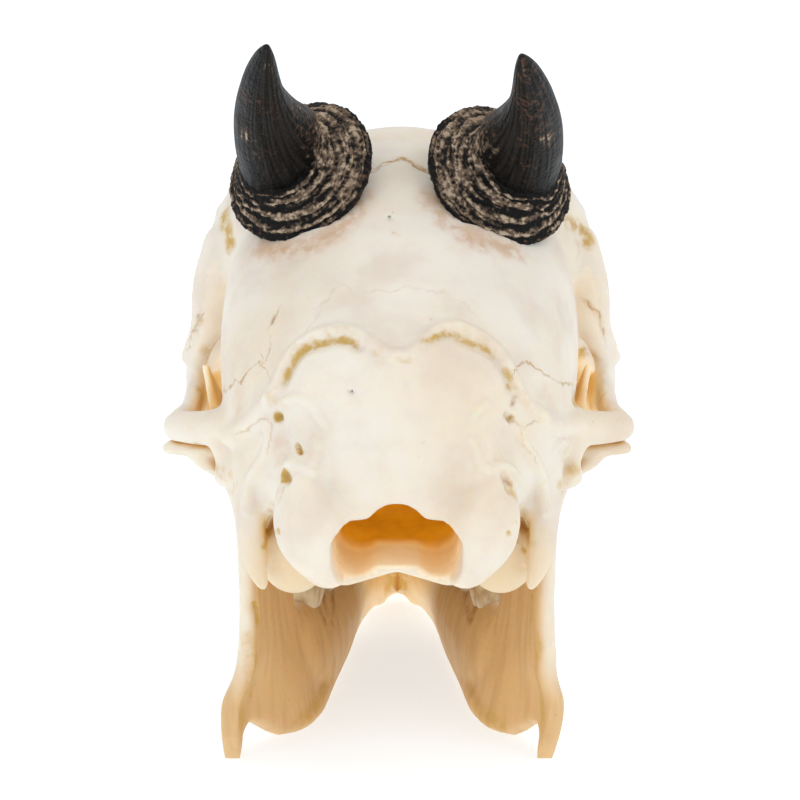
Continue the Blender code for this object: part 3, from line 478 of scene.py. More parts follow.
def add_hull(shape, first, second, side):
    """Adds the closed hull round two beads."""
    hull = bmesh.new()
    for x, y, z, rx, ry, rz in (first, second):
        place = Matrix.Translation(Vector((side * x, y, z)) * MM) @ Matrix.Diagonal((rx * MM, ry * MM, rz * MM, 1.0))
        bmesh.ops.create_icosphere(hull, subdivisions=3, radius=1.0, matrix=place)
    found = bmesh.ops.convex_hull(hull, input=hull.verts)
    inside = {item for item in found["geom_interior"] + found["geom_unused"] if isinstance(item, bmesh.types.BMVert)}
    bmesh.ops.delete(hull, geom=list(inside), context="VERTS")
    bmesh.ops.recalc_face_normals(hull, faces=hull.faces)
    mesh = bpy.data.meshes.new("hull")
    hull.to_mesh(mesh)
    hull.free()
    shape.from_mesh(mesh)
    bpy.data.meshes.remove(mesh)


def add_limb(shape, beads, sides=(1, -1), steps=3):
    """Adds a smooth limb that runs through a row of beads, on each of the given sides."""
    row = curve_through(beads, steps)
    for side in sides:
        for first, second in zip(row, row[1:]):
            add_hull(shape, first, second, side)


def object_from(name, shape):
    """Turns a bmesh into an object, with its faces outwards, and frees the bmesh."""
    bmesh.ops.recalc_face_normals(shape, faces=shape.faces)
    mesh = bpy.data.meshes.new(name)
    shape.to_mesh(mesh)
    shape.free()
    thing = bpy.data.objects.new(name, mesh)
    bpy.context.scene.collection.objects.link(thing)
    return thing


def bake(thing):
    """Applies an object's modifiers to its mesh."""
    graph = bpy.context.evaluated_depsgraph_get()
    old = thing.data
    thing.data = bpy.data.meshes.new_from_object(thing.evaluated_get(graph), depsgraph=graph)
    thing.modifiers.clear()
    bpy.data.meshes.remove(old)


def fuse(thing, grain, smoothing):
    """Fuses overlapping closed shapes into one skin and softens it."""
    skin = thing.modifiers.new("skin", "REMESH")
    skin.mode = "VOXEL"
    skin.voxel_size = grain * MM
    soften = thing.modifiers.new("soften", "SMOOTH")
    soften.factor = 0.5
    soften.iterations = smoothing
    bake(thing)


def carve_out(thing, cutter):
    """Takes one closed skin away from another and removes the cutter."""
    boolean = thing.modifiers.new("hollow", "BOOLEAN")
    boolean.operation = "DIFFERENCE"
    boolean.solver = "MANIFOLD"
    boolean.object = cutter
    bake(thing)
    bpy.data.objects.remove(cutter, do_unlink=True)


def join(thing, other):
    """Adds another object's closed shapes to this one, and removes the other."""
    shape = bmesh.new()
    shape.from_mesh(thing.data)
    shape.from_mesh(other.data)
    shape.to_mesh(thing.data)
    shape.free()
    bpy.data.objects.remove(other, do_unlink=True)


def thin_out(thing, triangles, kept=None):
    """Reduces a skin to at most the given number of triangles, and keeps it finer where a weight says so."""
    thing.data.calc_loop_triangles()
    thin = thing.modifiers.new("thin", "DECIMATE")
    thin.ratio = min(1.0, triangles / len(thing.data.loop_triangles))
    thin.use_collapse_triangulate = True
    if kept is not None:
        group = thing.vertex_groups.new(name="fine")
        for step, level in enumerate((0.0, 0.5, 1.0)):
            chosen = np.nonzero(np.round(kept * 2) == step)[0].tolist()
            group.add(chosen, level, "REPLACE")
        thin.vertex_group = group.name
        thin.invert_vertex_group = True
        thin.vertex_group_factor = 6.0
    bake(thing)
    thing.vertex_groups.clear()


def keep_main_body(thing):
    """Drops crumbs that a thin wall may leave and keeps the largest body."""
    shape = bmesh.new()
    shape.from_mesh(thing.data)
    left = set(shape.verts)
    bodies = []
    while left:
        body = [left.pop()]
        for vert in body:
            for edge in vert.link_edges:
                other = edge.other_vert(vert)
                if other in left:
                    left.remove(other)
                    body.append(other)
        bodies.append(body)
    bodies.sort(key=len)
    for crumb in bodies[:-1]:
        bmesh.ops.delete(shape, geom=crumb, context="VERTS")
    shape.to_mesh(thing.data)
    shape.free()


class Skin:
    """The points and outward directions of a bone's skin, in millimetres, while strokes carve and stain it."""

    def __init__(self, thing):
        self.mesh = thing.data
        self.read()

    def read(self):
        """Reads the points and directions from the mesh."""
        count = len(self.mesh.vertices)
        self.points = np.empty(count * 3, np.float32)
        self.mesh.vertices.foreach_get("co", self.points)
        self.points = self.points.reshape(-1, 3) / MM
        self.normals = np.empty(count * 3, np.float32)
        self.mesh.vertex_normals.foreach_get("vector", self.normals)
        self.normals = self.normals.reshape(-1, 3)

    def write(self):
        """Writes the moved points back to the mesh."""
        self.mesh.vertices.foreach_set("co", (self.points * MM).astype(np.float32).ravel())
        self.mesh.update()
        self.read()

    def grow_tree(self):
        """Makes the search tree that the photo's paths are cast on, in millimetres."""
        shape = bmesh.new()
        shape.from_mesh(self.mesh)
        bmesh.ops.scale(shape, vec=(1 / MM, 1 / MM, 1 / MM), verts=shape.verts)
        self.tree = BVHTree.FromBMesh(shape)
        shape.free()

    def seen(self, pixels):
        """Casts a path of the photo's pixels from the camera on to the skin."""
        eye = CAMERA_TARGET + CAMERA_BACK * CAMERA_DISTANCE
        right = Vector((-1.0, 0.0, 0.0))
        up = CAMERA_BACK.cross(right)
        focal = CAMERA_LENS / CAMERA_SENSOR * PHOTO_SIZE
        places = []
        for across, down in pixels:
            ray = right * (across - PHOTO_SIZE / 2) - up * (down - PHOTO_SIZE / 2) - CAMERA_BACK * focal
            place = self.tree.ray_cast(eye, ray)[0]
            if place is not None:
                places.append(tuple(place))
        return places

    def near(self, path, reach):
        """Returns the points within reach of a path, their distance, and the side of the path that each lies on."""
        inside = np.all((self.points > path.min(0) - reach) & (self.points < path.max(0) + reach), axis=1)
        index = np.nonzero(inside)[0]
        offsets = self.points[index][:, None, :] - path[None, :, :]
        squares = (offsets ** 2).sum(2)
        nearest = squares.argmin(1)
        rows = np.arange(len(index))
        distance = np.sqrt(squares[rows, nearest])
        heading = np.gradient(path, axis=0)[nearest]
        side = np.einsum("ij,ij->i", np.cross(heading, self.normals[index]), offsets[rows, nearest])
        close = distance < reach
        return index[close], distance[close], np.sign(side[close])

    def facing(self, way):
        """Returns 1 where the skin's rear outside faces one way, and 0 where it is turned off, inside or far ahead."""
        turned = np.clip(self.normals @ np.array(way) * 2 + 0.6, 0, 1)
        return turned * np.clip(self.points[:, 1] / 12, 0, 1)

    def closeness(self, place, fill=1.0):
        """Returns 1 in the middle of one of the PLACES and 0 from its edge on, on both sides of the skull."""
        middle, reach = np.array(PLACES[place], float)
        folded = np.column_stack((np.abs(self.points[:, 0]), self.points[:, 1:]))
        return np.clip((1 - (((folded - middle) / reach) ** 2).sum(1)) * fill, 0, 1)

    def brushed(self, strokes):
        """Yields the points that each photo path of a table covers, and its value there, which fades to its edges."""
        for pixels, width, value in strokes:
            places = self.seen(pixels)
            if places:
                index, distance, _ = self.near(dense(places), width)
                yield index, (1 - (distance / width) ** 2) ** 2 * value

    def carve(self, strokes):
        """Raises a rounded ridge along every path of a table, or sinks a groove where its height is negative."""
        for index, height in self.brushed(strokes):
            self.points[index] += self.normals[index] * height[:, None]
        self.write()

    def mark(self, name, strokes):
        """Marks stains and painted shade on the skin along the paths of a table, as an attribute of the mesh."""
        values = np.zeros(len(self.points), np.float32)
        for index, strength in self.brushed(strokes):
            values[index] = np.maximum(values[index], strength)
        write_values(self.mesh, name, values)

    def seams(self, paths, reach=3.0):
        """Writes how far each point is from the nearest suture, with a sign for its side, and how plain that one is."""
        nearest = np.full(len(self.points), reach, np.float32)
        signed = nearest.copy()
        plain = np.zeros(len(self.points), np.float32)
        for pixels, strength in paths:
            index, distance, side = self.near(dense(self.seen(pixels)), reach)
            closer = distance < nearest[index]
            nearest[index[closer]] = distance[closer]
            signed[index[closer]] = (distance * np.where(side == 0, 1, side))[closer]
            plain[index[closer]] = strength
        write_values(self.mesh, "seam_side", signed)
        write_values(self.mesh, "seam_near", plain * np.clip((SEAM_END - nearest) / SEAM_FADE, 0, 1))


def dense(points):
    """Returns a path with points about a third of a millimetre apart."""
    rows = curve_through(points, 6) if len(points) > 2 else np.array(points, float)
    if len(rows) < 2:
        return np.repeat(rows, 2, axis=0).astype(np.float32)
    lengths = np.concatenate(((0,), np.cumsum(np.linalg.norm(np.diff(rows, axis=0), axis=1))))
    count = max(2, int(lengths[-1] / 0.33))
    places = np.linspace(0, lengths[-1], count)
    return np.stack([np.interp(places, lengths, rows[:, axis]) for axis in range(3)], axis=1).astype(np.float32)


def skin_values(thing, name):
    """Returns the numbers that a mesh carries for its points."""
    values = np.empty(len(thing.data.vertices), np.float32)
    thing.data.attributes[name].data.foreach_get("value", values)
    return values


def write_values(mesh, name, values):
    """Stores one number for each point of a mesh."""
    attribute = mesh.attributes.get(name) or mesh.attributes.new(name, "FLOAT", "POINT")
    attribute.data.foreach_set("value", np.asarray(values, np.float32))


def soften_values(mesh, values, rounds):
    """Averages one number for each point with its neighbours."""
    edges = np.empty(len(mesh.edges) * 2, np.int32)
    mesh.edges.foreach_get("vertices", edges)
    edges = edges.reshape(-1, 2)
    for _ in range(rounds):
        total = values.copy()
        count = np.ones(len(values), np.float32)
        for near, far in ((0, 1), (1, 0)):
            np.add.at(total, edges[:, near], values[edges[:, far]])
            np.add.at(count, edges[:, near], 1)
        values = total / count
    return values


RAY_LIFT = 0.8


def walls_round(things, triangles=24000):
    """Returns a search tree over thinned copies of the bones, in millimetres, to tell what is shut in."""
    corners = []
    faces = []
    for thing in things:
        copy = bpy.data.objects.new("wall", thing.data.copy())
        bpy.context.scene.collection.objects.link(copy)
        thin_out(copy, triangles)
        start = len(corners)
        corners.extend(vert.co / MM for vert in copy.data.vertices)
        faces.extend(tuple(start + corner for corner in face.vertices) for face in copy.data.polygons)
        bpy.data.objects.remove(copy, do_unlink=True)
    return BVHTree.FromPolygons(corners, faces)


def write_hollowness(thing, walls, reach=26.0, rays=12):
    """Stores how shut in each point of a bone is: 0 in the open and 1 deep inside."""
    skin = Skin(thing)
    turns = np.arange(rays) * math.pi * (3 - math.sqrt(5))
    rise = np.sqrt(1 - (np.arange(rays) + 0.5) / rays)
    flat = np.sqrt(1 - rise ** 2)
    fan = np.stack((np.cos(turns) * flat, np.sin(turns) * flat, rise), axis=1)
    helper = np.where(np.abs(skin.normals[:, 2:3]) < 0.9, (0.0, 0.0, 1.0), (1.0, 0.0, 0.0))
    across = np.cross(helper, skin.normals)
    across /= np.linalg.norm(across, axis=1, keepdims=True)
    along = np.cross(skin.normals, across)
    starts = skin.points + skin.normals * RAY_LIFT
    shut = np.zeros(len(starts), np.float32)
    cast = walls.ray_cast
    for x, y, z in fan:
        rays_out = (across * x + along * y + skin.normals * z).tolist()
        for index, (start, ray) in enumerate(zip(starts.tolist(), rays_out)):
            if cast(start, ray, reach)[0] is not None:
                shut[index] += 1
    write_values(thing.data, "recess", soften_values(thing.data, shut / rays, 3))


# Relief of the upper skull where the photo shows it: a path in the photo's pixels, its width and its height
NAPE_CREST_LEFT = (
    (272, 398), (276, 385), (283, 368), (293, 352), (305, 341), (318, 334), (332, 330), (346, 330), (358, 334),
    (368, 341), (378, 349), (388, 354), (397, 357),
)
NAPE_CREST_RIGHT = (
    (397, 357), (408, 355), (418, 348), (428, 338), (440, 329), (455, 326), (470, 331), (484, 339), (497, 350),
    (507, 364), (514, 378), (520, 392), (529, 406), (540, 416),
)
UNDER_CREST_LEFT = ((284, 382), (293, 363), (302, 352), (312, 347), (325, 343), (338, 340), (350, 342), (358, 347))
UNDER_CREST_RIGHT = (
    (424, 342), (433, 338), (443, 334), (453, 335), (462, 340), (474, 345), (484, 349), (494, 356), (502, 366),
    (508, 378), (510, 388),
)
TEMPLE_RIDGE_LEFT = ((272, 398), (264, 408), (256, 417), (246, 425), (235, 432), (227, 438))
TEMPLE_RIDGE_RIGHT = ((540, 416), (552, 423), (566, 427), (580, 424))
EAR_RIDGE_LEFT = ((268, 424), (270, 438), (268, 452), (260, 464), (253, 476), (248, 490), (246, 510))
EAR_RIDGE_RIGHT = ((520, 433), (524, 445), (531, 456), (537, 466), (541, 478), (543, 492), (545, 512))
CONDYLE_TOP_LEFT = ((289, 470), (300, 472), (314, 478), (326, 486), (338, 497), (350, 507))
CONDYLE_TOP_RIGHT = ((505, 474), (492, 478), (478, 482), (465, 490), (452, 500), (442, 510))
CONDYLE_GROOVE_LEFT = ((284, 482), (276, 496), (271, 510), (267, 524), (265, 536))
CONDYLE_GROOVE_RIGHT = ((510, 482), (516, 497), (522, 512), (528, 527), (531, 542))
CRANIUM_RELIEF = (
    (NAPE_CREST_LEFT, 1.6, 0.85),
    (NAPE_CREST_RIGHT, 1.6, 0.85),
    (UNDER_CREST_LEFT, 1.5, -0.75),
    (UNDER_CREST_RIGHT, 1.4, -0.7),
    (TEMPLE_RIDGE_LEFT, 2.2, 1),
    (TEMPLE_RIDGE_RIGHT, 2.2, 1),
    (EAR_RIDGE_LEFT, 1.3, 1.08),
    (EAR_RIDGE_RIGHT, 1.3, 1.08),
    (CONDYLE_TOP_LEFT, 1.4, -0.3),
    (CONDYLE_TOP_RIGHT, 1.4, -0.3),
    (((280, 404), (290, 399), (302, 399), (311, 405), (318, 418), (323, 425)), 0.9, 0.63),
    (((474, 416), (480, 409), (488, 403)), 0.9, 0.63),
    (((315, 440), (317, 452), (312, 464)), 1, 0.63),
    (((472, 440), (477, 453), (481, 464), (490, 471)), 1, 0.72),
    (((289, 463), (300, 468), (314, 474)), 0.9, 0.72),
    (((498, 466), (508, 466), (516, 473), (520, 484)), 0.8, 0.72),
    (((275, 470), (282, 466), (290, 464)), 0.8, 0.54),
    (((240, 448), (247, 440), (256, 436)), 1.6, -0.35),
    (((262, 436), (266, 446), (262, 456)), 0.8, 0.54),
    (((555, 448), (562, 441), (568, 446), (563, 456)), 0.9, 0.63),
    (((398, 372), (399, 410), (399, 450), (398, 480)), 4, 0.4),
    (((330, 372), (326, 392), (328, 412)), 6, -0.5),
    (((470, 372), (474, 392), (470, 412)), 6, -0.5),
    (((285, 440), (283, 452)), 3.2, -0.7),
    (((506, 438), (506, 452)), 3, -0.6),
    (((243, 396), (240, 408)), 3.6, -0.5),
    (((545, 395), (550, 408)), 3.6, -0.5),
    (((290, 268), (330, 262), (370, 258), (410, 258), (450, 264), (500, 276)), 6, -0.4),
    (((335, 300), (350, 297), (440, 297), (455, 303)), 3, -0.25),
)
CRANIUM_PITS = (
    (((277, 416), (279, 418)), 1, -1.5),
    (((508, 415), (512, 420)), 1, -1.2),
    (((285, 476), (287, 480)), 1.1, -1.8),
    (((506, 478), (509, 488)), 1.2, -1.6),
    (((297, 446), (300, 452)), 0.8, -0.9),
    (((497, 459),), 0.6, -0.4),
    (((502, 456),), 0.5, -0.4),
    (((351, 392),), 0.6, -0.7),
    (((390, 218),), 0.6, -0.7),
    (((275, 314), (273, 322)), 0.6, -0.25),
    (((514, 396), (512, 405)), 0.8, -0.5),
    (((198, 318), (202, 313)), 0.6, -0.4),
    (((193, 329), (197, 330)), 0.6, -0.5),
    (((585, 302), (590, 306)), 0.7, -0.5),
    (((572, 465), (564, 480)), 1.6, -1.6),
)

# How far from its path a suture may wander, and over how much of that it fades out, in millimetres
SEAM_END = 2.0
SEAM_FADE = 0.6

# Sutures: a path in the photo's pixels and how plain it is
CRANIUM_SEAMS = (
    (
        ((223, 392), (229, 388), (234, 381), (238, 384), (243, 378), (250, 368), (256, 362), (262, 366), (267, 374)),
        0.85,
    ),
    (((516, 369), (523, 360), (530, 365), (540, 371), (550, 377), (560, 382), (572, 384)), 0.7),
    (((235, 434), (242, 431), (250, 428), (258, 420), (263, 420), (269, 423)), 0.4),
    (((512, 423), (520, 427), (527, 426), (535, 422)), 0.4),
    (((556, 437), (562, 438), (567, 442), (560, 452)), 0.3),
    (((270, 424), (270, 432), (268, 444)), 0.4),
    (((521, 432), (524, 445), (530, 455), (534, 460)), 0.35),
    (((323, 306), (318, 315), (313, 324), (306, 332)), 0.12),
    (((322, 306), (332, 292), (345, 289), (360, 293), (375, 289), (392, 292), (408, 287), (428, 290), (446, 290)), 0.2),
    (((446, 290), (456, 300), (464, 304), (474, 314)), 0.12),
    (((366, 174), (374, 170), (380, 166), (385, 161), (391, 163), (403, 158), (414, 165), (423, 171), (435, 175)), 1),
    (((277, 313), (272, 322)), 0.7),
    (((269, 345), (266, 360)), 0.5),
    (((203, 314), (198, 321), (194, 329), (192, 336), (190, 343)), 0.5),
    (((584, 300), (590, 306), (597, 312), (601, 322), (604, 334)), 0.6),
)

# Stains of the upper skull, with painted shade under the horns, in the pits and in the shaded hollows: a path in the
# photo's pixels, its width and its strength
HORN_SHADE_LEFT = ((262, 247), (280, 250), (300, 248), (320, 242), (338, 231), (350, 217), (359, 202))
HORN_SHADE_RIGHT = ((434, 196), (441, 212), (455, 226), (474, 236), (494, 244), (514, 250))
NAPE_PIT_LEFT = ((278, 417), (278, 419))
NAPE_PIT_RIGHT = ((510, 418),)
CONDYLE_PIT_LEFT = ((284, 474), (286, 480))
SMALL_PIT_LEFT = ((298, 446), (301, 453))
GOLD_STAINS_AND_SHADE = (
    (UNDER_CREST_LEFT, 1.05, 1.1),
    (UNDER_CREST_RIGHT, 1, 0.95),
    (UNDER_CREST_LEFT, 2.3, 0.45),
    (UNDER_CREST_RIGHT, 2.2, 0.42),
    (NAPE_CREST_LEFT, 2.6, 0.36),
    (NAPE_CREST_RIGHT, 2.6, 0.34),
    (((374, 352), (382, 358), (381, 364)), 1.4, 0.5),
    (((397, 358), (406, 361), (416, 360)), 1, 0.6),
    (((268, 392), (271, 404), (282, 404)), 1.2, 0.5),
    (CONDYLE_GROOVE_LEFT, 1.6, 0.6),
    (CONDYLE_GROOVE_RIGHT, 1.8, 0.6),
    (((279, 531), (269, 533), (263, 547)), 0.9, 1),
    (((508, 533), (517, 541), (525, 552)), 0.8, 1),
    (((513, 522), (521, 529), (528, 537)), 1, 0.7),
    (((216, 466), (224, 472), (234, 484)), 2.6, 0.6),
    (((562, 462), (570, 470), (560, 484)), 2.4, 0.6),
    (((394, 233), (401, 235)), 0.8, 0.5),
    (((548, 462), (546, 478), (549, 490)), 0.9, 0.4),
    (((455, 320), (458, 328)), 0.7, 0.4),
    (((203, 320), (196, 328), (192, 340)), 1, 0.5),
    (((584, 300), (590, 306), (600, 318), (603, 332)), 1, 0.55),
    # Painted golden shade in the hollows behind the eye bars and under the jaw joints
    (((207, 350), (212, 366), (217, 380)), 2.6, 0.7),
    (((200, 392), (206, 400), (214, 406)), 2.4, 0.7),
    (((580, 350), (577, 380), (573, 400)), 2.2, 1),
    (((594, 356), (594, 380), (600, 400)), 2.6, 0.7),
    (((198, 444), (208, 452), (213, 460)), 1.6, 0.8),
    (((590, 450), (578, 470), (565, 500)), 1.4, 0.5),
    (((366, 174), (380, 167), (391, 162), (403, 158), (414, 164), (435, 175)), 0.9, 0.8),
    (((568, 222), (580, 228), (588, 240)), 2.6, 0.85),
    # Painted golden shadow under the horns' rims
    (HORN_SHADE_LEFT, 2.2, 0.4),
    (HORN_SHADE_RIGHT, 2.2, 0.4),
    # Painted golden shade in the pits
    (NAPE_PIT_LEFT, 1.2, 2),
    (NAPE_PIT_RIGHT, 1.1, 1.4),
    (CONDYLE_PIT_LEFT, 1.3, 2),
    (SMALL_PIT_LEFT, 0.9, 1.2),
    (((225, 214), (228, 230), (230, 244)), 2.6, 0.95),
)
BROWN_STAINS_AND_SHADE = (
    # Painted brown shadow under the horns' rims
    (HORN_SHADE_LEFT, 3.2, 0.3),
    (((436, 202), (443, 218), (456, 233), (474, 243), (494, 249), (514, 251)), 3.2, 0.3),
    # Painted brown shade in the pits
    (NAPE_PIT_LEFT, 0.9, 0.6),
    (NAPE_PIT_RIGHT, 1, 1),
    (CONDYLE_PIT_LEFT, 1, 0.6),
    (((508, 482),), 1.6, 0.7),
    (((283, 488), (279, 500)), 1.4, 0.5),
    (SMALL_PIT_LEFT, 0.6, 0.7),
    (((275, 315), (272, 323)), 0.7, 0.6),
    (((514, 396), (512, 405)), 0.7, 0.7),
    (((572, 224), (582, 230), (578, 244)), 2.6, 0.42),
    (((578, 246), (576, 262)), 1.2, 0.35),
    (((187, 349), (195, 345)), 0.6, 0.5),
    (((366, 174), (380, 167), (391, 163), (403, 159), (414, 165), (435, 175)), 1, 0.6),
)
PINK_STAINS_AND_SHADE = (
    # Painted tan shadow under the horns' rims
    (((262, 247), (280, 249), (300, 246), (320, 239), (338, 228), (350, 214), (359, 200)), 4.4, 1.1),
    (HORN_SHADE_RIGHT, 4.4, 1.1),
    (((283, 440), (283, 455)), 3.4, 0.6),
    (((330, 372), (322, 392), (330, 410)), 4.5, 0.35),
    (((450, 372), (474, 392), (490, 400)), 4.5, 0.3),
    (((238, 396), (237, 410)), 3, 0.5),
    (((545, 392), (552, 404)), 4, 0.4),
    (((406, 376), (405, 412)), 2.4, 0.35),
    (((330, 292), (350, 306), (360, 300)), 3, 0.3),
    (((450, 452), (470, 456), (500, 448)), 3.6, 0.3),
    (((335, 300), (400, 292), (450, 306)), 4, 0.2),
)
# Painted black shade in the smallest pits
BLACK_PIT_SHADE = (
    (((351, 392),), 0.45, 2.2),
    (((390, 218),), 0.45, 1.8),
    (((497, 459),), 0.22, 1),
)

# Stains and small hollows of the lower jaw, with painted golden shade in its pits and slits and along its lower edges:
# a path in the photo's pixels, its width, and its strength or height
JAW_GOLD_STAINS_AND_SHADE = (
    # Painted golden shade in the chin's pits
    (((393, 576), (390, 587), (393, 597)), 3, 1.2),
    (((401, 576), (404, 587), (401, 597)), 3, 1.2),
    # Painted golden shade in the slits
    (((254, 603), (257, 612), (258, 623)), 0.7, 1.4),
    (((256, 656), (254, 675), (251, 696)), 0.8, 1.1),
    (((533, 590), (533, 597)), 0.8, 1.4),
    (((532, 608), (530, 626), (529, 645)), 0.7, 1),
    # Painted golden shade along the lower edges, near the floor
    (((296, 726), (312, 712), (324, 690), (333, 665)), 3.4, 0.5),
    (((500, 726), (482, 712), (470, 690), (462, 665)), 3.4, 0.55),
    (((249, 640), (247, 690), (242, 725)), 2.4, 0.7),
    (((538, 640), (540, 690), (543, 725)), 2.4, 0.7),
)
JAW_BROWN_STAINS = (
    (((313, 596), (318, 606), (325, 620)), 2, 0.6),
    (((331, 586), (333, 600), (332, 622)), 1.6, 0.7),
    (((322, 594), (327, 612)), 2.2, 0.7),
    (((466, 590), (467, 606), (470, 620)), 1.8, 0.7),
    (((481, 588), (477, 602), (472, 618)), 2, 0.7),
    (((462, 630), (459, 650), (461, 680)), 1.8, 0.35),
    (((330, 640), (322, 670), (312, 690)), 2.2, 0.3),
)
JAW_HOLLOWS = (
    (((394, 582), (394, 590)), 1.8, -0.7),
    (((400, 582), (400, 590)), 1.8, -0.7),
    (((254, 603), (257, 612), (258, 623)), 0.7, -0.5),
    (((532, 590), (532, 600)), 0.7, -0.5),
)


def grow_cranium(grain):
    """Makes the upper skull's skin: its outside, and the brain, nose, eye and palate hollows."""
    shape = bmesh.new()
    for rings in (VAULT_RINGS, BROW_RINGS, SNOUT_RINGS):
        add_rings(shape, rings)
    for beads in PAIRED_LIMBS.values():
        add_limb(shape, beads)
    for beads in MIDDLE_LIMBS.values():
        add_limb(shape, beads, sides=(1,))
    root = HORN_FEET[1] - HORN_FOOT_AXIS * PEDICLE_DEPTH
    top = HORN_FEET[1] - HORN_FOOT_AXIS * PEDICLE_TOP
    add_limb(shape, ((*root, *PEDICLE_RADII), (*top, *PEDICLE_TOP_RADII)))
    cranium = object_from("cranium_bone", shape)
    fuse(cranium, grain, smoothing=3)
    hollows = bmesh.new()
    add_limb(hollows, (EYE_HOLLOW, EYE_HOLLOW), steps=1)
    add_rings(hollows, NOSE_RINGS)
    add_limb(hollows, THROAT_BEADS, sides=(1,))
    add_limb(hollows, BRAIN_BEADS, sides=(1,))
    add_rings(hollows, NAPE_HOLE_RINGS)
    add_limb(hollows, NAPE_HOLE_ARCH, sides=(1,), steps=1)
    add_limb(hollows, NAPE_HOLE_SIDES, steps=1)
    add_limb(hollows, NAPE_HOLE_CORNERS, steps=1)
    add_limb(hollows, PALATE_BEADS, sides=(1,))
    add_limb(hollows, PALATE_SLOTS, steps=1)
    cutter = object_from("hollows", hollows)
    fuse(cutter, grain, smoothing=3)
    carve_out(cranium, cutter)
    inner = bmesh.new()
    for beads in NOSE_SCROLLS:
        add_limb(inner, beads)
    add_limb(inner, NOSE_PARTITION, sides=(1,))
    join(cranium, object_from("nose_scrolls", inner))
    fuse(cranium, grain, smoothing=2)
    keep_main_body(cranium)
    skin = Skin(cranium)
    skin.points[:, 0] += np.interp(skin.points[:, 1], *FACE_LEAN)
    skin.write()
    return cranium


def carve_cranium(cranium):
    """Carves the crests, grooves and small holes of the upper skull."""
    skin = Skin(cranium)
    skin.grow_tree()
    skin.carve(CRANIUM_RELIEF)
    skin.grow_tree()
    skin.carve(CRANIUM_PITS)


def jaw_table():
    """Returns how far out the jaw blade lies, on a grid of one millimetre over its length and height."""
    lengths = np.arange(JAW_Y[0], JAW_Y[-1] + 1, dtype=float)
    rows = []
    for height, row in JAW_OUTWARD.items():
        smooth = curve_through(list(zip(JAW_Y, row)), 8)
        rows.append((height, *np.interp(lengths, smooth[:, 0], smooth[:, 1])))
    columns = curve_through(rows, 8)
    heights = np.arange(columns[0, 0], columns[-1, 0] + 1)
    grid = np.stack([np.interp(heights, columns[:, 0], columns[:, 1 + place]) for place in range(len(lengths))], axis=1)
    return lengths, heights, grid


def swing_out(points, side):
    """Moves the points of an upright jaw blade out to where the real half lies."""
    lengths, heights, grid = jaw_table()
    y = np.clip(points[:, 1], lengths[0], lengths[-1] - 1.001) - lengths[0]
    z = np.clip(points[:, 2], heights[0], heights[-1] - 1.001)
    row, column = z.astype(int), y.astype(int)
    up, on = z - row, y - column
    low = grid[row, column] * (1 - on) + grid[row, column + 1] * on
    high = grid[row + 1, column] * (1 - on) + grid[row + 1, column + 1] * on
    share = np.interp(points[:, 2], *JAW_THINNING)
    out = low * (1 - up) + high * up
    if side < 0:
        out -= np.interp(points[:, 2], *RIGHT_CORNER_BEND) * np.interp(points[:, 1], *RIGHT_CORNER_REACH)
    points[:, 0] = side * (points[:, 0] * share + out)


def grow_jaw(name, side, grain):
    """Makes one half of the lower jaw: built upright, swung out to its place, and flat at the chin and the floor."""
    shape = bmesh.new()
    outline = bmesh.ops.create_circle(shape, cap_ends=True, segments=len(JAW_OUTLINE), radius=1.0)["verts"]
    for vert, (y, z) in zip(outline, JAW_OUTLINE):
        vert.co = Vector((-JAW_BLADE_THICKNESS / 2, y, z)) * MM
    moved = bmesh.ops.extrude_face_region(shape, geom=shape.faces[:])["geom"]
    far = [item for item in moved if isinstance(item, bmesh.types.BMVert)]
    bmesh.ops.translate(shape, verts=far, vec=(JAW_BLADE_THICKNESS * MM, 0.0, 0.0))
    for beads in JAW_LIMBS.values():
        add_limb(shape, beads, sides=(1,))
    jaw = object_from(name, shape)
    fuse(jaw, grain, smoothing=4)
    skin = Skin(jaw)
    swing_out(skin.points, side)
    skin.points[:, 2] = np.maximum(skin.points[:, 2], 0.0)
    skin.points[:, 0] = side * np.maximum(side * skin.points[:, 0], CHIN_GAP)
    skin.write()
    if side < 0:
        jaw.data.flip_normals()
    return jaw


def horn_path(along, foot, tip):
    """Returns a point on the horn's bent middle line, from the foot at 0 to the tip at 1."""
    pull = foot + HORN_FOOT_AXIS * (tip - foot).length * HORN_BEND
    return foot * (1 - along) ** 2 + pull * 2 * along * (1 - along) + tip * along ** 2


def horn_profile(side, rows):
    """Returns the horn's rings from its underside to the tip: place along it, radius, and share of foot and claw."""
    foot_share = HORN_FOOT_HEIGHT / (HORN_TIPS[side] - HORN_FEET[side]).length
    rings = [(along, HORN_FOOT_RADIUS - less, 0.0) for along, less in HORN_UNDERSIDE]
    for row in range(rows):
        share = row / rows
        flare = HORN_STEM_RADIUS + (HORN_FOOT_RADIUS - HORN_STEM_RADIUS) * (1 - share) ** HORN_FLARE
        rings.append((foot_share * share, flare, share))
    for row in range(1, rows + 1):
        share = row / rows
        radius = HORN_TIP_RADIUS + (HORN_STEM_RADIUS - HORN_TIP_RADIUS) * (1 - share) ** HORN_TAPER
        radius = max(radius * math.sqrt(1 - share ** 16), 0.1)
        rings.append((foot_share + (1 - foot_share) * share, radius, 1.0 + share))
    return rings


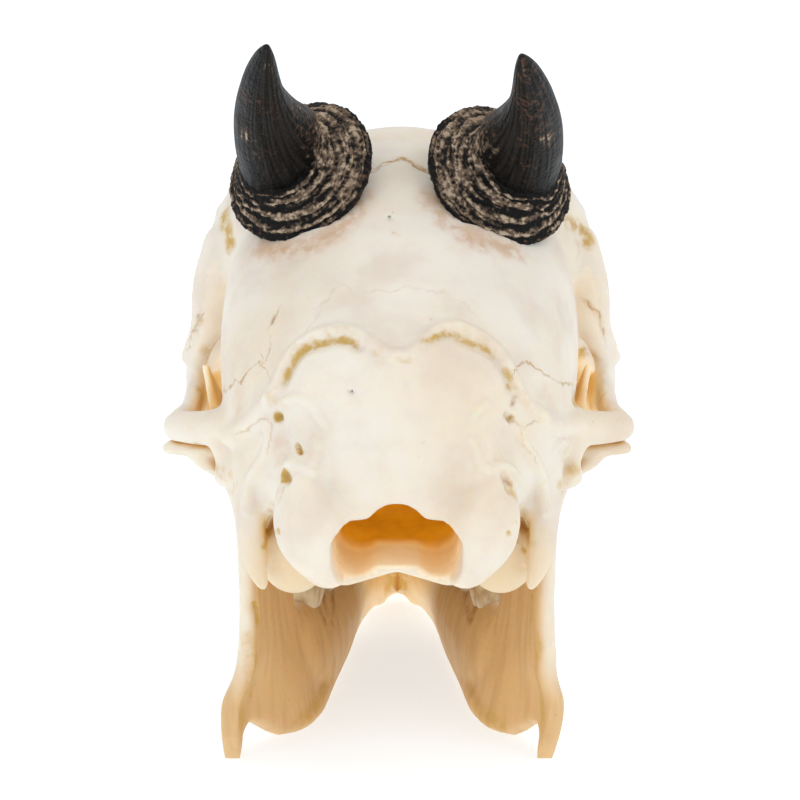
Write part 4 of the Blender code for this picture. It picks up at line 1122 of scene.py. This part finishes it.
def horn_surface(out, place, share):
    """Returns how far a point of the horn stands out, how dusty it is and how streaked it is.

    The share is 0 to 1 over the foot and 1 to 2 over the claw. Rings and layers cross the foot, and streaks run up."""
    wobble = noise.noise(Vector((out.x, out.y, share * 1.5)) * 1.4) * HORN_WANDER
    wave = 0.5 + 0.5 * math.cos(2 * math.pi * (share * HORN_RINGS + wobble))
    layer = noise.noise(Vector((out.x * 3.4, out.y * 3.4, share * HORN_LAYERS)))
    crust = noise.noise(place * 0.9) * 0.24 + noise.noise(place * 2.6) * 0.2
    streak = noise.noise(Vector((out.x * HORN_STREAKS, out.y * HORN_STREAKS, share * 2.5)))
    if share >= 1.0:
        fade = max(0.0, 1 - (share - 1) * 6)
        rubbed = max(0.0, out.dot(HORN_SHOULDER) - 0.1) * max(0.0, 1 - (share - 1) * 2) * 0.8
        rubbed += max(0.0, noise.noise(place * 0.2) - 0.08) * (0.45 + streak * 1.3)
        return streak * 0.10 * (1 - fade) + crust * fade * 0.6, rubbed, streak
    rim = min(1.0, share / HORN_RIM_END)
    collar = max(0.0, share - HORN_COLLAR_START) / (1 - HORN_COLLAR_START)
    collar *= max(0.0, min(1.0, 0.6 - 1.2 * out.dot(HORN_SHOULDER)))
    worn = rim * (0.46 - 0.2 * out.x + 0.7 * (wave - 0.5) * min(1.0, 1.1 + out.x) + 0.6 * layer) * (1 - collar)
    return (0.5 * (wave - 0.5) + 0.3 * layer) * (1 - share * 0.45) * rim + crust, worn, streak


def grow_horn(name, side, turns, rows):
    """Makes one horn sheath: a rough ringed foot and a smooth bent claw."""
    foot, tip = HORN_FEET[side], HORN_TIPS[side]
    shape = bmesh.new()
    layers = [shape.verts.layers.float.new(layer) for layer in ("dust", "streak", "claw")]
    level = HORN_FOOT_AXIS.cross(Vector((0.0, 0.0, 1.0))).normalized()
    circles = []
    for along, radius, share in horn_profile(side, rows):
        rise, left = min(1.0, share), min(1.0, 2 - share)
        shift = HORN_CLAW_SHIFT * rise ** 2 * (3 - 2 * rise) * left ** 2
        centre = horn_path(along, foot, tip) + level * shift
        heading = (horn_path(along + 0.01, foot, tip) - horn_path(along - 0.01, foot, tip)).normalized()
        across = (level - heading * level.dot(heading)).normalized()
        up = heading.cross(across)
        circle = bmesh.ops.create_circle(shape, segments=turns, radius=1.0)["verts"]
        for vert in circle:
            out = across * vert.co.x + up * vert.co.y
            bulge = max(0.0, 1 - abs(share - 1.12) / 0.5) * max(0.0, out.dot(HORN_SHOULDER)) ** 2
            place = centre + out * (radius + HORN_SHOULDER_RISE * bulge ** 1.3)
            height, dust, streak = horn_surface(out, place, share)
            for layer, value in zip(layers, (dust, streak, max(0.0, share - 1.0))):
                vert[layer] = value
            vert.co = (place + out * height * min(1.0, radius / 3)) * MM
            vert.co.x *= side
        circles.append(circle)
    close_tube(shape, circles)
    return object_from(name, shape)


def row_line(upper, y):
    """Returns X, biting height and gum height of a tooth row at one Y."""
    if upper:
        bite = float(np.interp(y, *UPPER_BITE))
        return float(np.interp(y, *UPPER_ROW)), bite, bite + UPPER_CROWN
    bite = float(np.interp(y, *LOWER_BITE))
    return float(np.interp(y, JAW_Y, JAW_OUTWARD[TOOTH_ROW_HEIGHT])), bite, bite - LOWER_CROWN


def tooth_rings(bite, gum, away):
    """Returns a cheek tooth's rings from the roots to the middle of the biting face: height, share, flute and wear."""
    rings = [(gum + away * rise, share, flute, False) for rise, share, flute in TOOTH_ROOTS]
    for step in range(1, TOOTH_CROWN_STEPS + 1):
        share = step / TOOTH_CROWN_STEPS
        rings.append((gum + (bite - gum) * share * 0.93, 0.86 + 0.14 * math.sin(share * math.pi * 0.6), 1.0, False))
    rings += [(bite + away * rise, share, flute, False) for rise, share, flute in TOOTH_EDGE]
    return rings + [(bite, share, flute, True) for share, flute in TOOTH_FACE]


def grow_cheek_tooth(name, upper, side, y, length, half_width, lobes):
    """Makes one cheek tooth: roots, a waist at the gum, a fluted crown and a biting face with worn crescents."""
    x, bite, gum = row_line(upper, y)
    slant = (row_line(upper, y + 1.0)[0] - row_line(upper, y - 1.0)[0]) / 2
    away = 1.0 if upper else -1.0
    lean = float(np.interp(y, *FACE_LEAN)) if upper else 0.0
    phase = math.pi * (lobes - 1)
    shape = bmesh.new()
    circles = []
    for height, share, flute, worn in tooth_rings(bite, gum, away):
        circle = bmesh.ops.create_circle(shape, segments=32, radius=1.0)["verts"]
        for vert in circle:
            angle = math.atan2(vert.co.y, vert.co.x)
            corner = abs(math.cos(angle)) ** TOOTH_SQUARENESS + abs(math.sin(angle)) ** TOOTH_SQUARENESS
            box_round = corner ** (-1 / TOOTH_SQUARENESS)
            on, out = math.cos(angle) * box_round, math.sin(angle) * box_round
            fold = 0.5 + 0.5 * math.cos(2 * math.pi * on * lobes / 2 + phase)
            along = length / 2 * share * on
            across = half_width * share * out * (1 - TOOTH_FLUTE * flute * fold * abs(out))
            z = height
            if worn:
                crescent = math.cos(math.pi * on * share * lobes + phase)
                z = bite + away * (0.55 - 0.45 * crescent * (1 - abs(out * share)) - 0.4 * abs(out * share))
            vert.co = Vector((side * (x + across + along * slant) + lean, y + along, z)) * MM
        circles.append(circle)
    close_tube(shape, circles)
    return object_from(name, shape)


def grow_front_tooth(name, side, root_x, tip_x, tip_y, width):
    """Makes one spatula tooth of the lower jaw's tip."""
    half = width / 2
    rings = curve_through((
        (root_x, tip_y + 7.0, FRONT_TOOTH_TIP_Z - 7.4, 0.5, 0.6),
        (root_x, tip_y + 4.6, FRONT_TOOTH_TIP_Z - 4.4, 0.7, 0.8),
        (tip_x, tip_y + 1.0, FRONT_TOOTH_TIP_Z - 1.4, half, 0.7),
        (tip_x, tip_y, FRONT_TOOTH_TIP_Z, half * 0.94, 0.3),
    ), 5)
    shape = bmesh.new()
    circles = []
    for x, y, z, wide, thick in rings:
        circle = bmesh.ops.create_circle(shape, segments=20, radius=1.0)["verts"]
        for vert in circle:
            rise = thick * vert.co.y
            vert.co = Vector((side * (x + wide * vert.co.x), y + rise * 0.7, z + rise * 0.7)) * MM
        circles.append(circle)
    close_tube(shape, circles)
    return object_from(name, shape)


# Settings of the nodes that the materials use most
SMOOTH = {"interpolation_type": "SMOOTHSTEP"}
COLOURS = {"data_type": "RGBA"}
MULTIPLY = {"operation": "MULTIPLY"}
ADD = {"operation": "ADD"}
SUBTRACT = {"operation": "SUBTRACT"}
ABSOLUTE = {"operation": "ABSOLUTE"}


def add_node(tree, kind, inputs=(), settings=None, output=0):
    """Adds a shader node with its settings, sets or links its inputs by name or in order, and returns one output."""
    node = tree.nodes.new(f"ShaderNode{kind}")
    for name, value in (settings or {}).items():
        setattr(node, name, value)
    for socket, value in inputs.items() if isinstance(inputs, dict) else enumerate(inputs):
        if isinstance(value, bpy.types.NodeSocket):
            tree.links.new(value, node.inputs[socket])
        else:
            node.inputs[socket].default_value = value
    return node.outputs[output]


def new_material(name):
    """Starts a material and returns it with its tree, its surface shader and its Object coordinates."""
    material = bpy.data.materials.new(name)
    material.use_nodes = True
    tree = material.node_tree
    return material, tree, tree.nodes["Principled BSDF"], add_node(tree, "TexCoord", output="Object")


def draw_patterns(tree, places, table):
    """Returns the noises of a table, each by its name.

    A row has the place that the noise reads, the width of its blots in millimetres and its detail, and then the two
    limits that it is stretched between and the values it has there, or nothing where the noise stays as it is."""
    patterns = {}
    for name, (place, millimetres, detail, *limits) in table.items():
        inputs = {"Vector": places[place], "Scale": 0.5 / (millimetres * MM), "Detail": detail}
        patterns[name] = add_node(tree, "TexNoise", inputs, output="Fac")
        if limits:
            patterns[name] = add_node(tree, "MapRange", (patterns[name], *limits), SMOOTH)
    return patterns


def carried_values(tree, *names):
    """Returns the numbers that the mesh carries for its points, each by its name."""
    return {name: add_node(tree, "Attribute", (), {"attribute_name": name}, "Fac") for name in names}


def lay_colours(tree, colour, layers):
    """Lays tints over a colour, each as strong as the product of two values, and returns the last blend."""
    for first, second, tint in layers:
        strength = add_node(tree, "Math", (first, second), MULTIPLY)
        colour = add_node(tree, "Mix", {0: strength, 6: colour, 7: tint}, COLOURS, 2)
    return colour


# The noises of the bone: place, blot width in millimetres, detail, two limits and the values there
BONE_PATTERNS = {
    "blotch": ("skin", 11, 4, 0.36, 0.68, 0, 1),
    "wide_cloud": ("skin", 2.6, 6, 0.36, 0.66, 0, 0.45),
    "fine_cloud": ("skin", 0.7, 4, 0.38, 0.62, 0, 0.55),
    "mottle": ("skin", 4.5, 6, 0.42, 0.72, 0, 0.42),
    "streaks": ("upright", 0.9, 6, 0.42, 0.72, 0, 1),
    "seam_wander": ("skin", 1.1, 3),
    "seam_gaps": ("skin", 1.2, 4, 0.40, 0.56, 0.3, 1),
    "pores": ("skin", 0.35, 2, 0.20, 0.30, 1, 0),
    "pore_fields": ("skin", 6, 3, 0.5, 0.65, 0, 1),
    "polish": ("skin", 2, 4, 0.3, 0.7, 0.42, 0.62),
    "fine_grain": ("skin", 0.5, 4),
    "coarse_grain": ("skin", 3, 4),
}

# The stains of the bone, some of which also paint shade under the horns, in pits and in hollows: the mesh's attribute,
# the colour and the most that it covers
BONE_STAINS_AND_SHADE = (
    ("pink_stain_and_shade", "#E0BFA6", 0.7),
    ("gold_stain_and_shade", "#CDA544", 0.9),
    ("brown_stain_and_shade", "#A0601A", 0.9),
    ("pit_shade_black", "#1E120A", 1.0),
)


def seam_line(tree, patterns, carried):
    """Returns how strongly a suture shows: a hair-thin line that wanders and breaks off."""
    wander = add_node(tree, "Math", (patterns["seam_wander"], 0.5), SUBTRACT)
    wander = add_node(tree, "Math", (wander, 2.6), MULTIPLY)
    offset = add_node(tree, "Math", (add_node(tree, "Math", (carried["seam_side"], wander), ADD), 0.0), ABSOLUTE)
    line = add_node(tree, "MapRange", (offset, 0.05, 0.30, 1, 0), SMOOTH)
    line = add_node(tree, "Math", (line, patterns["seam_gaps"]), MULTIPLY)
    return add_node(tree, "Math", (line, carried["seam_near"]), MULTIPLY)


def dry_bone(name, outside, warm, deep, streaked=0.0):
    """Cleaned, degreased bone: nearly white and satin, with painted warm shade in its hollows, fine grain and dark
    sutures.

    The eye sees a chalky ivory skin with faint blotches a centimetre wide, painted ochre shade where light is trapped,
    gold and brown stains where muscle was fixed, painted gold and brown shade under the horns and in pits, hair-thin
    brown zigzag seams, and a painted orange glow for light that soaks through the thin parts and bounces into shaded
    ones."""
    material, tree, shader, place = new_material(name)
    upright = add_node(tree, "Mapping", {"Vector": place, "Scale": (1.0, 1.0, 0.12)})
    patterns = draw_patterns(tree, {"skin": place, "upright": upright}, BONE_PATTERNS)
    stains = [name for name, _, _ in BONE_STAINS_AND_SHADE]
    carried = carried_values(tree, "recess", "inner", "glow", "seam_side", "seam_near", *stains)
    line = seam_line(tree, patterns, carried)
    pores = add_node(tree, "Math", (patterns["pores"], patterns["pore_fields"]), MULTIPLY)
    half_warm = tuple(a * 0.45 + b * 0.55 for a, b in zip(outside, warm))
    layers = [
        (patterns["blotch"], 0.6, half_warm),
        (patterns["mottle"], 1.0, linear("#DCC9B6")),
        # Painted shade: ochre where the bone is half shut in
        (add_node(tree, "MapRange", (carried["recess"], 0.42, 0.86, 0, 1), SMOOTH), 1.0, warm),
        (carried["inner"], 1.0, warm),
        (add_node(tree, "Math", (patterns["streaks"], carried["inner"]), MULTIPLY), streaked, linear("#A06A2C")),
        # Painted shade: deeper ochre where the bone is most shut in
        (add_node(tree, "MapRange", (carried["recess"], 0.72, 0.98, 0, 1), SMOOTH), 1.0, deep),
        # Painted glow, tinted deep ochre where it is strongest
        (add_node(tree, "MapRange", (carried["glow"], 0.35, 0.8, 0, 1), SMOOTH), 1.0, deep),
    ]
    cloud = add_node(tree, "Math", (patterns["wide_cloud"], patterns["fine_cloud"]), ADD)
    ragged = add_node(tree, "Math", (add_node(tree, "Math", (cloud, 0.8), MULTIPLY), 0.4), ADD)
    # Stains, and painted shade where the marks hold shade
    for stain, tint, most in BONE_STAINS_AND_SHADE:
        amount = add_node(tree, "Math", (carried[stain], ragged), MULTIPLY)
        layers.append((add_node(tree, "MapRange", (amount, 0.12, 1, 0, 1), SMOOTH), most, linear(tint)))
    layers += [(line, 0.8, linear("#B98A3C")), (pores, 0.35, linear("#A98C66"))]
    tree.links.new(lay_colours(tree, outside, layers), shader.inputs["Base Color"])
    # Painted glow: pale gold, turning orange where it is strongest
    thin = add_node(tree, "MapRange", (carried["glow"], 0.3, 0.75, 0, 1), SMOOTH)
    painted_glow = lay_colours(tree, linear("#DDB46A"), ((thin, 1.0, linear("#BC7E0E")),))
    tree.links.new(painted_glow, shader.inputs["Emission Color"])
    uneven = add_node(tree, "Math", (add_node(tree, "Math", (cloud, 0.3), MULTIPLY), 0.75), ADD)
    lit = add_node(tree, "MapRange", (carried["glow"], 0, 0.6, 0, 0.5), SMOOTH)
    tree.links.new(add_node(tree, "Math", (lit, uneven), MULTIPLY), shader.inputs["Emission Strength"])
    tree.links.new(patterns["polish"], shader.inputs["Roughness"])
    shader.inputs["IOR"].default_value = 1.5
    shader.inputs["Specular IOR Level"].default_value = 0.3
    shader.inputs["Subsurface Weight"].default_value = 0.35
    shader.inputs["Subsurface Radius"].default_value = (1.0, 0.55, 0.22)
    shader.inputs["Subsurface Scale"].default_value = 0.0022
    fine = add_node(tree, "Math", (patterns["fine_grain"], 0.35), MULTIPLY)
    grain = add_node(tree, "Math", (fine, patterns["coarse_grain"]), ADD)
    sunk = add_node(tree, "Math", (add_node(tree, "Math", (line, 0.6), MULTIPLY), pores), ADD)
    height = add_node(tree, "Math", (grain, sunk), SUBTRACT)
    bump = add_node(tree, "Bump", {"Strength": 0.5, "Distance": 0.0004, "Height": height})
    tree.links.new(bump, shader.inputs["Normal"])
    return material


# The noises of the teeth and of the horns, in the same columns as the bone's
TOOTH_PATTERNS = {
    "blot": ("skin", 2.2, 5, 0.40, 0.66, 0, 1),
    "streak": ("upright", 0.9, 4, 0.44, 0.70, 0, 0.5),
}
HORN_PATTERNS = {
    "crust": ("skin", 1.3, 6),
    "flake": ("skin", 0.38, 5),
    "rust": ("skin", 3.6, 3, 0.50, 0.66, 0, 1),
}


def tooth_enamel():
    """Grazer's tooth enamel: glossy ivory, with blots and upright streaks of brown plant stain."""
    material, tree, shader, place = new_material("stained_tooth_enamel")
    upright = add_node(tree, "Mapping", {"Vector": place, "Scale": (1.0, 1.0, 0.25)})
    patterns = draw_patterns(tree, {"skin": place, "upright": upright}, TOOTH_PATTERNS)
    layers = ((patterns["blot"], 1.0, linear("#BC9864")), (patterns["streak"], 1.0, linear("#6E4826")))
    tree.links.new(lay_colours(tree, linear("#E2D0AA"), layers), shader.inputs["Base Color"])
    gloss = add_node(tree, "MapRange", (patterns["streak"], 0, 0.6, 0.34, 0.6), SMOOTH)
    tree.links.new(gloss, shader.inputs["Roughness"])
    shader.inputs["IOR"].default_value = 1.63
    shader.inputs["Specular IOR Level"].default_value = 0.3
    shader.inputs["Subsurface Weight"].default_value = 0.08
    shader.inputs["Subsurface Radius"].default_value = (1.0, 0.7, 0.4)
    shader.inputs["Subsurface Scale"].default_value = 0.001
    bump = add_node(tree, "Bump", {"Strength": 0.3, "Distance": 0.0002, "Height": patterns["streak"]})
    tree.links.new(bump, shader.inputs["Normal"])
    return material


def horn_keratin():
    """Weathered keratin: near-black, streaked and faintly glossy on the claw, with dusty tan crests on the ringed foot.

    The eye sees dry flakes that break the dust into grains, paler where it lies thickest, and a little rusty brown."""
    material, tree, shader, place = new_material("weathered_horn_keratin")
    patterns = draw_patterns(tree, {"skin": place}, HORN_PATTERNS)
    crust, flake = patterns["crust"], patterns["flake"]
    carried = carried_values(tree, "claw", "streak", "dust")
    claw = add_node(tree, "MapRange", (carried["claw"], 0, 0.12, 0, 1), SMOOTH)
    streak = add_node(tree, "MapRange", (carried["streak"], -0.35, 0.45, 0, 1), SMOOTH)
    worn = carried["dust"]
    for pattern, weight in ((crust, 0.6), (flake, 1.7)):
        uneven = add_node(tree, "Math", (add_node(tree, "Math", (pattern, 0.5), SUBTRACT), weight), MULTIPLY)
        worn = add_node(tree, "Math", (worn, uneven), ADD)
    dusty = add_node(tree, "MapRange", (worn, 0.31, 0.80, 0, 1), SMOOTH)
    thick_dust = add_node(tree, "MapRange", (worn, 0.66, 0.95, 0, 1), SMOOTH)
    layers = (
        (streak, claw, linear("#24211F")),
        (dusty, 0.8, linear("#84705E")),
        (thick_dust, add_node(tree, "MapRange", (flake, 0.45, 0.6, 0, 1), SMOOTH), linear("#B8A68F")),
        (patterns["rust"], add_node(tree, "MapRange", (flake, 0.5, 0.62, 0, 0.5), SMOOTH), linear("#6A4937")),
    )
    tree.links.new(lay_colours(tree, linear("#090807"), layers), shader.inputs["Base Color"])
    rough = add_node(tree, "Math", (dusty, crust), ADD)
    tree.links.new(add_node(tree, "MapRange", (rough, 0.3, 1.4, 0.40, 0.85), SMOOTH), shader.inputs["Roughness"])
    shader.inputs["IOR"].default_value = 1.55
    shader.inputs["Specular IOR Level"].default_value = 0.13
    height = add_node(tree, "Math", (crust, add_node(tree, "Math", (flake, 0.8), MULTIPLY)), ADD)
    bump = add_node(tree, "Bump", {"Strength": 0.75, "Distance": 0.0006, "Height": height})
    tree.links.new(bump, shader.inputs["Normal"])
    return material


def studio_paper():
    """White studio paper: matte and slightly uneven, and so brightly lit that the eye sees almost no edge or shade."""
    material, tree, shader, place = new_material("white_studio_paper")
    patterns = draw_patterns(tree, {"skin": place}, {"cloud": ("skin", 60, 3)})
    tone = lay_colours(tree, linear("#BEC8D2"), ((patterns["cloud"], 1.0, linear("#C4CED8")),))
    tree.links.new(tone, shader.inputs["Base Color"])
    shader.inputs["Roughness"].default_value = 0.9
    shader.inputs["Emission Color"].default_value = (1.0, 1.0, 1.0, 1.0)
    shader.inputs["Emission Strength"].default_value = 0.6
    return material


def dress(thing, material, node):
    """Gives a finished piece its material, and puts it in the place of its CAD node."""
    thing.data.materials.clear()
    thing.data.materials.append(material)
    thing.data.shade_smooth()
    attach(thing, "root")
    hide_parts(node)


class SkullSizes(bpy.types.PropertyGroup):
    """How fine the skull's skins are made."""

    bone_grain: FloatProperty(
        name="Bone grain",
        description="Size of the grains that the bones' skins are grown from, in millimetres",
        default=0.55,
        min=0.3,
        max=2.0,
    )
    cranium_triangles: IntProperty(
        name="Cranium triangles", description="Most triangles in the upper skull", default=190000, min=2000
    )
    jaw_triangles: IntProperty(
        name="Jaw triangles", description="Most triangles in each half of the lower jaw", default=70000, min=1000
    )
    horn_turns: IntProperty(name="Horn turns", description="Points round each ring of a horn", default=240, min=16)
    horn_rows: IntProperty(name="Horn rows", description="Rings on a horn's foot, and on its claw", default=60, min=8)


COLOUR_RANGE = {"subtype": "COLOR", "size": 4, "min": 0, "max": 1}


class SkullColours(bpy.types.PropertyGroup):
    """The skull's main colours."""

    bone: FloatVectorProperty(
        name="Bone", description="Outside of the cleaned bone", default=linear("#F3ECE0"), **COLOUR_RANGE
    )
    # The warm and deep bone colours also paint the shade in the bone's hollows
    warm_bone: FloatVectorProperty(
        name="Warm bone", description="Bone that is half shut in", default=linear("#EBD0A2"), **COLOUR_RANGE
    )
    deep_bone: FloatVectorProperty(
        name="Deep bone", description="Bone inside the hollows", default=linear("#C88A18"), **COLOUR_RANGE
    )
    jaw: FloatVectorProperty(
        name="Jaw", description="Outside of the lower jaw", default=linear("#F5EDDD"), **COLOUR_RANGE
    )
    jaw_inside: FloatVectorProperty(
        name="Jaw inside", description="Inner faces of the lower jaw", default=linear("#E3BC82"), **COLOUR_RANGE
    )


class SKULL_OT_cranium(bpy.types.Operator):
    """Grows and carves the upper skull"""

    bl_idname = "skull.cranium"
    bl_label = "Cranium"

    def execute(self, context):
        sizes, colours = context.scene.skull_sizes, context.scene.skull_colours
        cranium = grow_cranium(sizes.bone_grain)
        carve_cranium(cranium)
        skin = Skin(cranium)
        thin_out(cranium, sizes.cranium_triangles, skin.facing(CAMERA_BACK))
        skin = Skin(cranium)
        skin.grow_tree()
        skin.seams(CRANIUM_SEAMS)
        # Stains, and painted shade under the horns, in the pits and in the shaded hollows
        skin.mark("gold_stain_and_shade", GOLD_STAINS_AND_SHADE)
        skin.mark("brown_stain_and_shade", BROWN_STAINS_AND_SHADE)
        skin.mark("pink_stain_and_shade", PINK_STAINS_AND_SHADE)
        skin.mark("pit_shade_black", BLACK_PIT_SHADE)
        # The recess also tints the bone as painted shade in its hollows
        write_hollowness(cranium, walls_round([cranium]))
        recess = skin_values(cranium, "recess")
        # Painted glow in the braincase, the temples, the eye bars and the sill
        brain = skin.closeness("braincase", BRAINCASE_FILL) * np.clip(recess * SHUT_IN_SLOPE - BRAINCASE_SHUT_IN, 0, 1)
        temple = skin.closeness("temple") * np.clip(recess * SHUT_IN_SLOPE - TEMPLE_SHUT_IN, 0, 1) * TEMPLE_GLOW
        bar, sill = skin.closeness("eye_bar", PALE_FILL), skin.closeness("sill", PALE_FILL)
        painted_glow = np.maximum(bar * BAR_GLOW, sill * SILL_GLOW) * (recess > PAINTED_GLOW_RECESS)
        write_values(cranium.data, "glow", np.maximum(np.maximum(brain, temple), painted_glow))
        write_values(cranium.data, "inner", skin.closeness("underside") * UNDERSIDE_TAN)
        # The eye bars and the sill keep less of their painted hollow shade, so they look lit
        write_values(cranium.data, "recess", recess * (1 - HOLLOW_PALER * np.maximum(bar, sill)))
        bone = dry_bone("degreased_skull_bone", tuple(colours.bone), tuple(colours.warm_bone), tuple(colours.deep_bone))
        dress(cranium, bone, "cranium")
        return {"FINISHED"}


class SKULL_OT_jaw(bpy.types.Operator):
    """Grows the two halves of the lower jaw"""

    bl_idname = "skull.jaw"
    bl_label = "Lower jaw halves"

    def execute(self, context):
        sizes, colours = context.scene.skull_sizes, context.scene.skull_colours
        jaws = []
        for side, side_name in SIDES:
            jaw = grow_jaw(f"jaw_bone_{side_name}", side, sizes.bone_grain)
            skin = Skin(jaw)
            skin.grow_tree()
            skin.carve(JAW_HOLLOWS)
            thin_out(jaw, sizes.jaw_triangles)
            jaws.append(jaw)
        walls = walls_round(jaws + [bpy.data.objects["cranium_bone"]])
        bone = dry_bone("tanned_jaw_bone", tuple(colours.jaw), tuple(colours.jaw_inside), tuple(colours.deep_bone), 0.2)
        for jaw, (side, side_name) in zip(jaws, SIDES):
            write_hollowness(jaw, walls)
            skin = Skin(jaw)
            inward, rearward = -side * skin.normals[:, 0], skin.normals[:, 1]
            inner = np.clip(inward * INNER_FACE_SLOPE - INNER_FACE_START, 0, 1).astype(np.float32)
            tanned = np.interp(skin.points[:, 2], *JAW_TAN_HEIGHT) * (skin.points[:, 1] > JAW_TAN_START)
            # The chin keeps less of its inner tan, as painted light where bounced light falls
            inner = np.maximum(inner, tanned) * (1 - CHIN_PALER * skin.closeness("chin", PALE_FILL))
            write_values(jaw.data, "inner", soften_values(jaw.data, inner.astype(np.float32), rounds=4))
            # Painted glow on the chin's inner and rear faces, for bounced light, and on the muscle process
            chin = skin.closeness("chin") * np.clip(np.maximum(inward, rearward) * 2, 0, 1)
            process = skin.closeness("muscle_process")
            write_values(jaw.data, "glow", np.maximum(chin * CHIN_GLOW, process * PROCESS_GLOW))
            skin.grow_tree()
            # Stains, and painted golden shade in the pits, the slits and along the lower edges
            skin.mark("gold_stain_and_shade", JAW_GOLD_STAINS_AND_SHADE)
            skin.mark("brown_stain_and_shade", JAW_BROWN_STAINS)
            dress(jaw, bone, f"mandible_{side_name}")
        return {"FINISHED"}


class SKULL_OT_horns(bpy.types.Operator):
    """Makes the two horn sheaths"""

    bl_idname = "skull.horns"
    bl_label = "Horn sheaths"

    def execute(self, context):
        sizes = context.scene.skull_sizes
        keratin = horn_keratin()
        for side, side_name in SIDES:
            horn = grow_horn(f"horn_{side_name}", side, sizes.horn_turns, sizes.horn_rows)
            dress(horn, keratin, f"horn_sheath_{side_name}")
        return {"FINISHED"}


class SKULL_OT_cheek_teeth(bpy.types.Operator):
    """Makes the four rows of cheek teeth"""

    bl_idname = "skull.cheek_teeth"
    bl_label = "Cheek teeth"

    def execute(self, context):
        enamel = bpy.data.materials.get("stained_tooth_enamel") or tooth_enamel()
        for upper in (True, False):
            for side, side_name in SIDES:
                y = TOOTH_ROW_FRONT
                for tooth_name, length in zip(CHEEK_TOOTH_NAMES, CHEEK_TOOTH_LENGTHS):
                    narrow, wider = UPPER_HALF_WIDTH if upper else LOWER_HALF_WIDTH
                    half_width = narrow + wider * (length - CHEEK_TOOTH_LENGTHS[0]) / CHEEK_TOOTH_SPREAD
                    lobes = 1 if tooth_name.startswith("premolar") and upper else 2
                    node = f"{'upper' if upper else 'lower'}_{tooth_name}_{side_name}"
                    tooth = grow_cheek_tooth(f"{node}_crown", upper, side, y + length / 2, length, half_width, lobes)
                    dress(tooth, enamel, node)
                    y += length + TOOTH_SPACING
        return {"FINISHED"}


class SKULL_OT_front_teeth(bpy.types.Operator):
    """Makes the eight front teeth of the lower jaw"""

    bl_idname = "skull.front_teeth"
    bl_label = "Front teeth"

    def execute(self, context):
        enamel = bpy.data.materials.get("stained_tooth_enamel") or tooth_enamel()
        for side, side_name in SIDES:
            for tooth_name, root_x, tip_x, tip_y, width in FRONT_TEETH:
                node = f"{tooth_name}_{side_name}"
                tooth = grow_front_tooth(f"{node}_crown", side, root_x, tip_x, tip_y, width)
                dress(tooth, enamel, node)
        return {"FINISHED"}


class SKULL_OT_stage(bpy.types.Operator):
    """Sets up the pale floor, the soft light and the camera"""

    bl_idname = "skull.stage"
    bl_label = "Stage"

    def execute(self, context):
        floor_shape = bmesh.new()
        bmesh.ops.create_grid(floor_shape, x_segments=1, y_segments=1, size=4.0)
        floor = object_from("studio_floor", floor_shape)
        floor.data.materials.append(studio_paper())
        world = bpy.data.worlds.new("studio_air")
        world.use_nodes = True
        background = world.node_tree.nodes["Background"]
        background.inputs["Color"].default_value = (1.0, 1.0, 1.0, 1.0)
        background.inputs["Strength"].default_value = 0.72
        context.scene.world = world
        for name, corner, size, power in SOFTBOXES:
            place = Vector(corner)
            light = bpy.data.lights.new(name, "AREA")
            light.shape = "SQUARE"
            light.size = size
            light.energy = power
            lamp = bpy.data.objects.new(name, light)
            lamp.location = place
            lamp.rotation_euler = (place - SOFTBOX_TARGET).to_track_quat("Z", "Y").to_euler()
            context.scene.collection.objects.link(lamp)
        camera = bpy.data.objects.new("camera", bpy.data.cameras.new("camera"))
        camera.location = (CAMERA_TARGET + CAMERA_BACK * CAMERA_DISTANCE) * MM
        camera.rotation_euler = CAMERA_BACK.to_track_quat("Z", "Y").to_euler()
        camera.data.lens = CAMERA_LENS
        camera.data.sensor_width = CAMERA_SENSOR
        camera.data.clip_start = 0.01
        context.scene.collection.objects.link(camera)
        context.scene.camera = camera
        context.scene.view_settings.view_transform = "Standard"
        return {"FINISHED"}


OPERATORS = (
    SKULL_OT_stage,
    SKULL_OT_cranium,
    SKULL_OT_jaw,
    SKULL_OT_horns,
    SKULL_OT_cheek_teeth,
    SKULL_OT_front_teeth,
)


class VIEW3D_PT_skull(bpy.types.Panel):
    """Lists the skull's pieces and settings"""

    bl_label = "Red duiker skull"
    bl_idname = "VIEW3D_PT_skull"
    bl_space_type = "VIEW_3D"
    bl_region_type = "UI"
    bl_category = "Skull"

    def draw(self, context):
        for settings in (context.scene.skull_sizes, context.scene.skull_colours):
            for name in settings.__annotations__:
                self.layout.prop(settings, name)
        for operator in OPERATORS:
            self.layout.operator(operator.bl_idname)


CLASSES = (SkullSizes, SkullColours, *OPERATORS, VIEW3D_PT_skull)


def register():
    """Registers the add-on's classes and settings."""
    for each in CLASSES:
        bpy.utils.register_class(each)
    bpy.types.Scene.skull_sizes = PointerProperty(type=SkullSizes)
    bpy.types.Scene.skull_colours = PointerProperty(type=SkullColours)


def unregister():
    """Removes the add-on's classes and settings."""
    del bpy.types.Scene.skull_colours
    del bpy.types.Scene.skull_sizes
    for each in reversed(CLASSES):
        bpy.utils.unregister_class(each)


def main():
    """Builds every piece in order."""
    register()
    bpy.ops.skull.stage()
    bpy.ops.skull.cranium()
    bpy.ops.skull.jaw()
    bpy.ops.skull.horns()
    bpy.ops.skull.cheek_teeth()
    bpy.ops.skull.front_teeth()


if __name__ == "__main__":
    main()
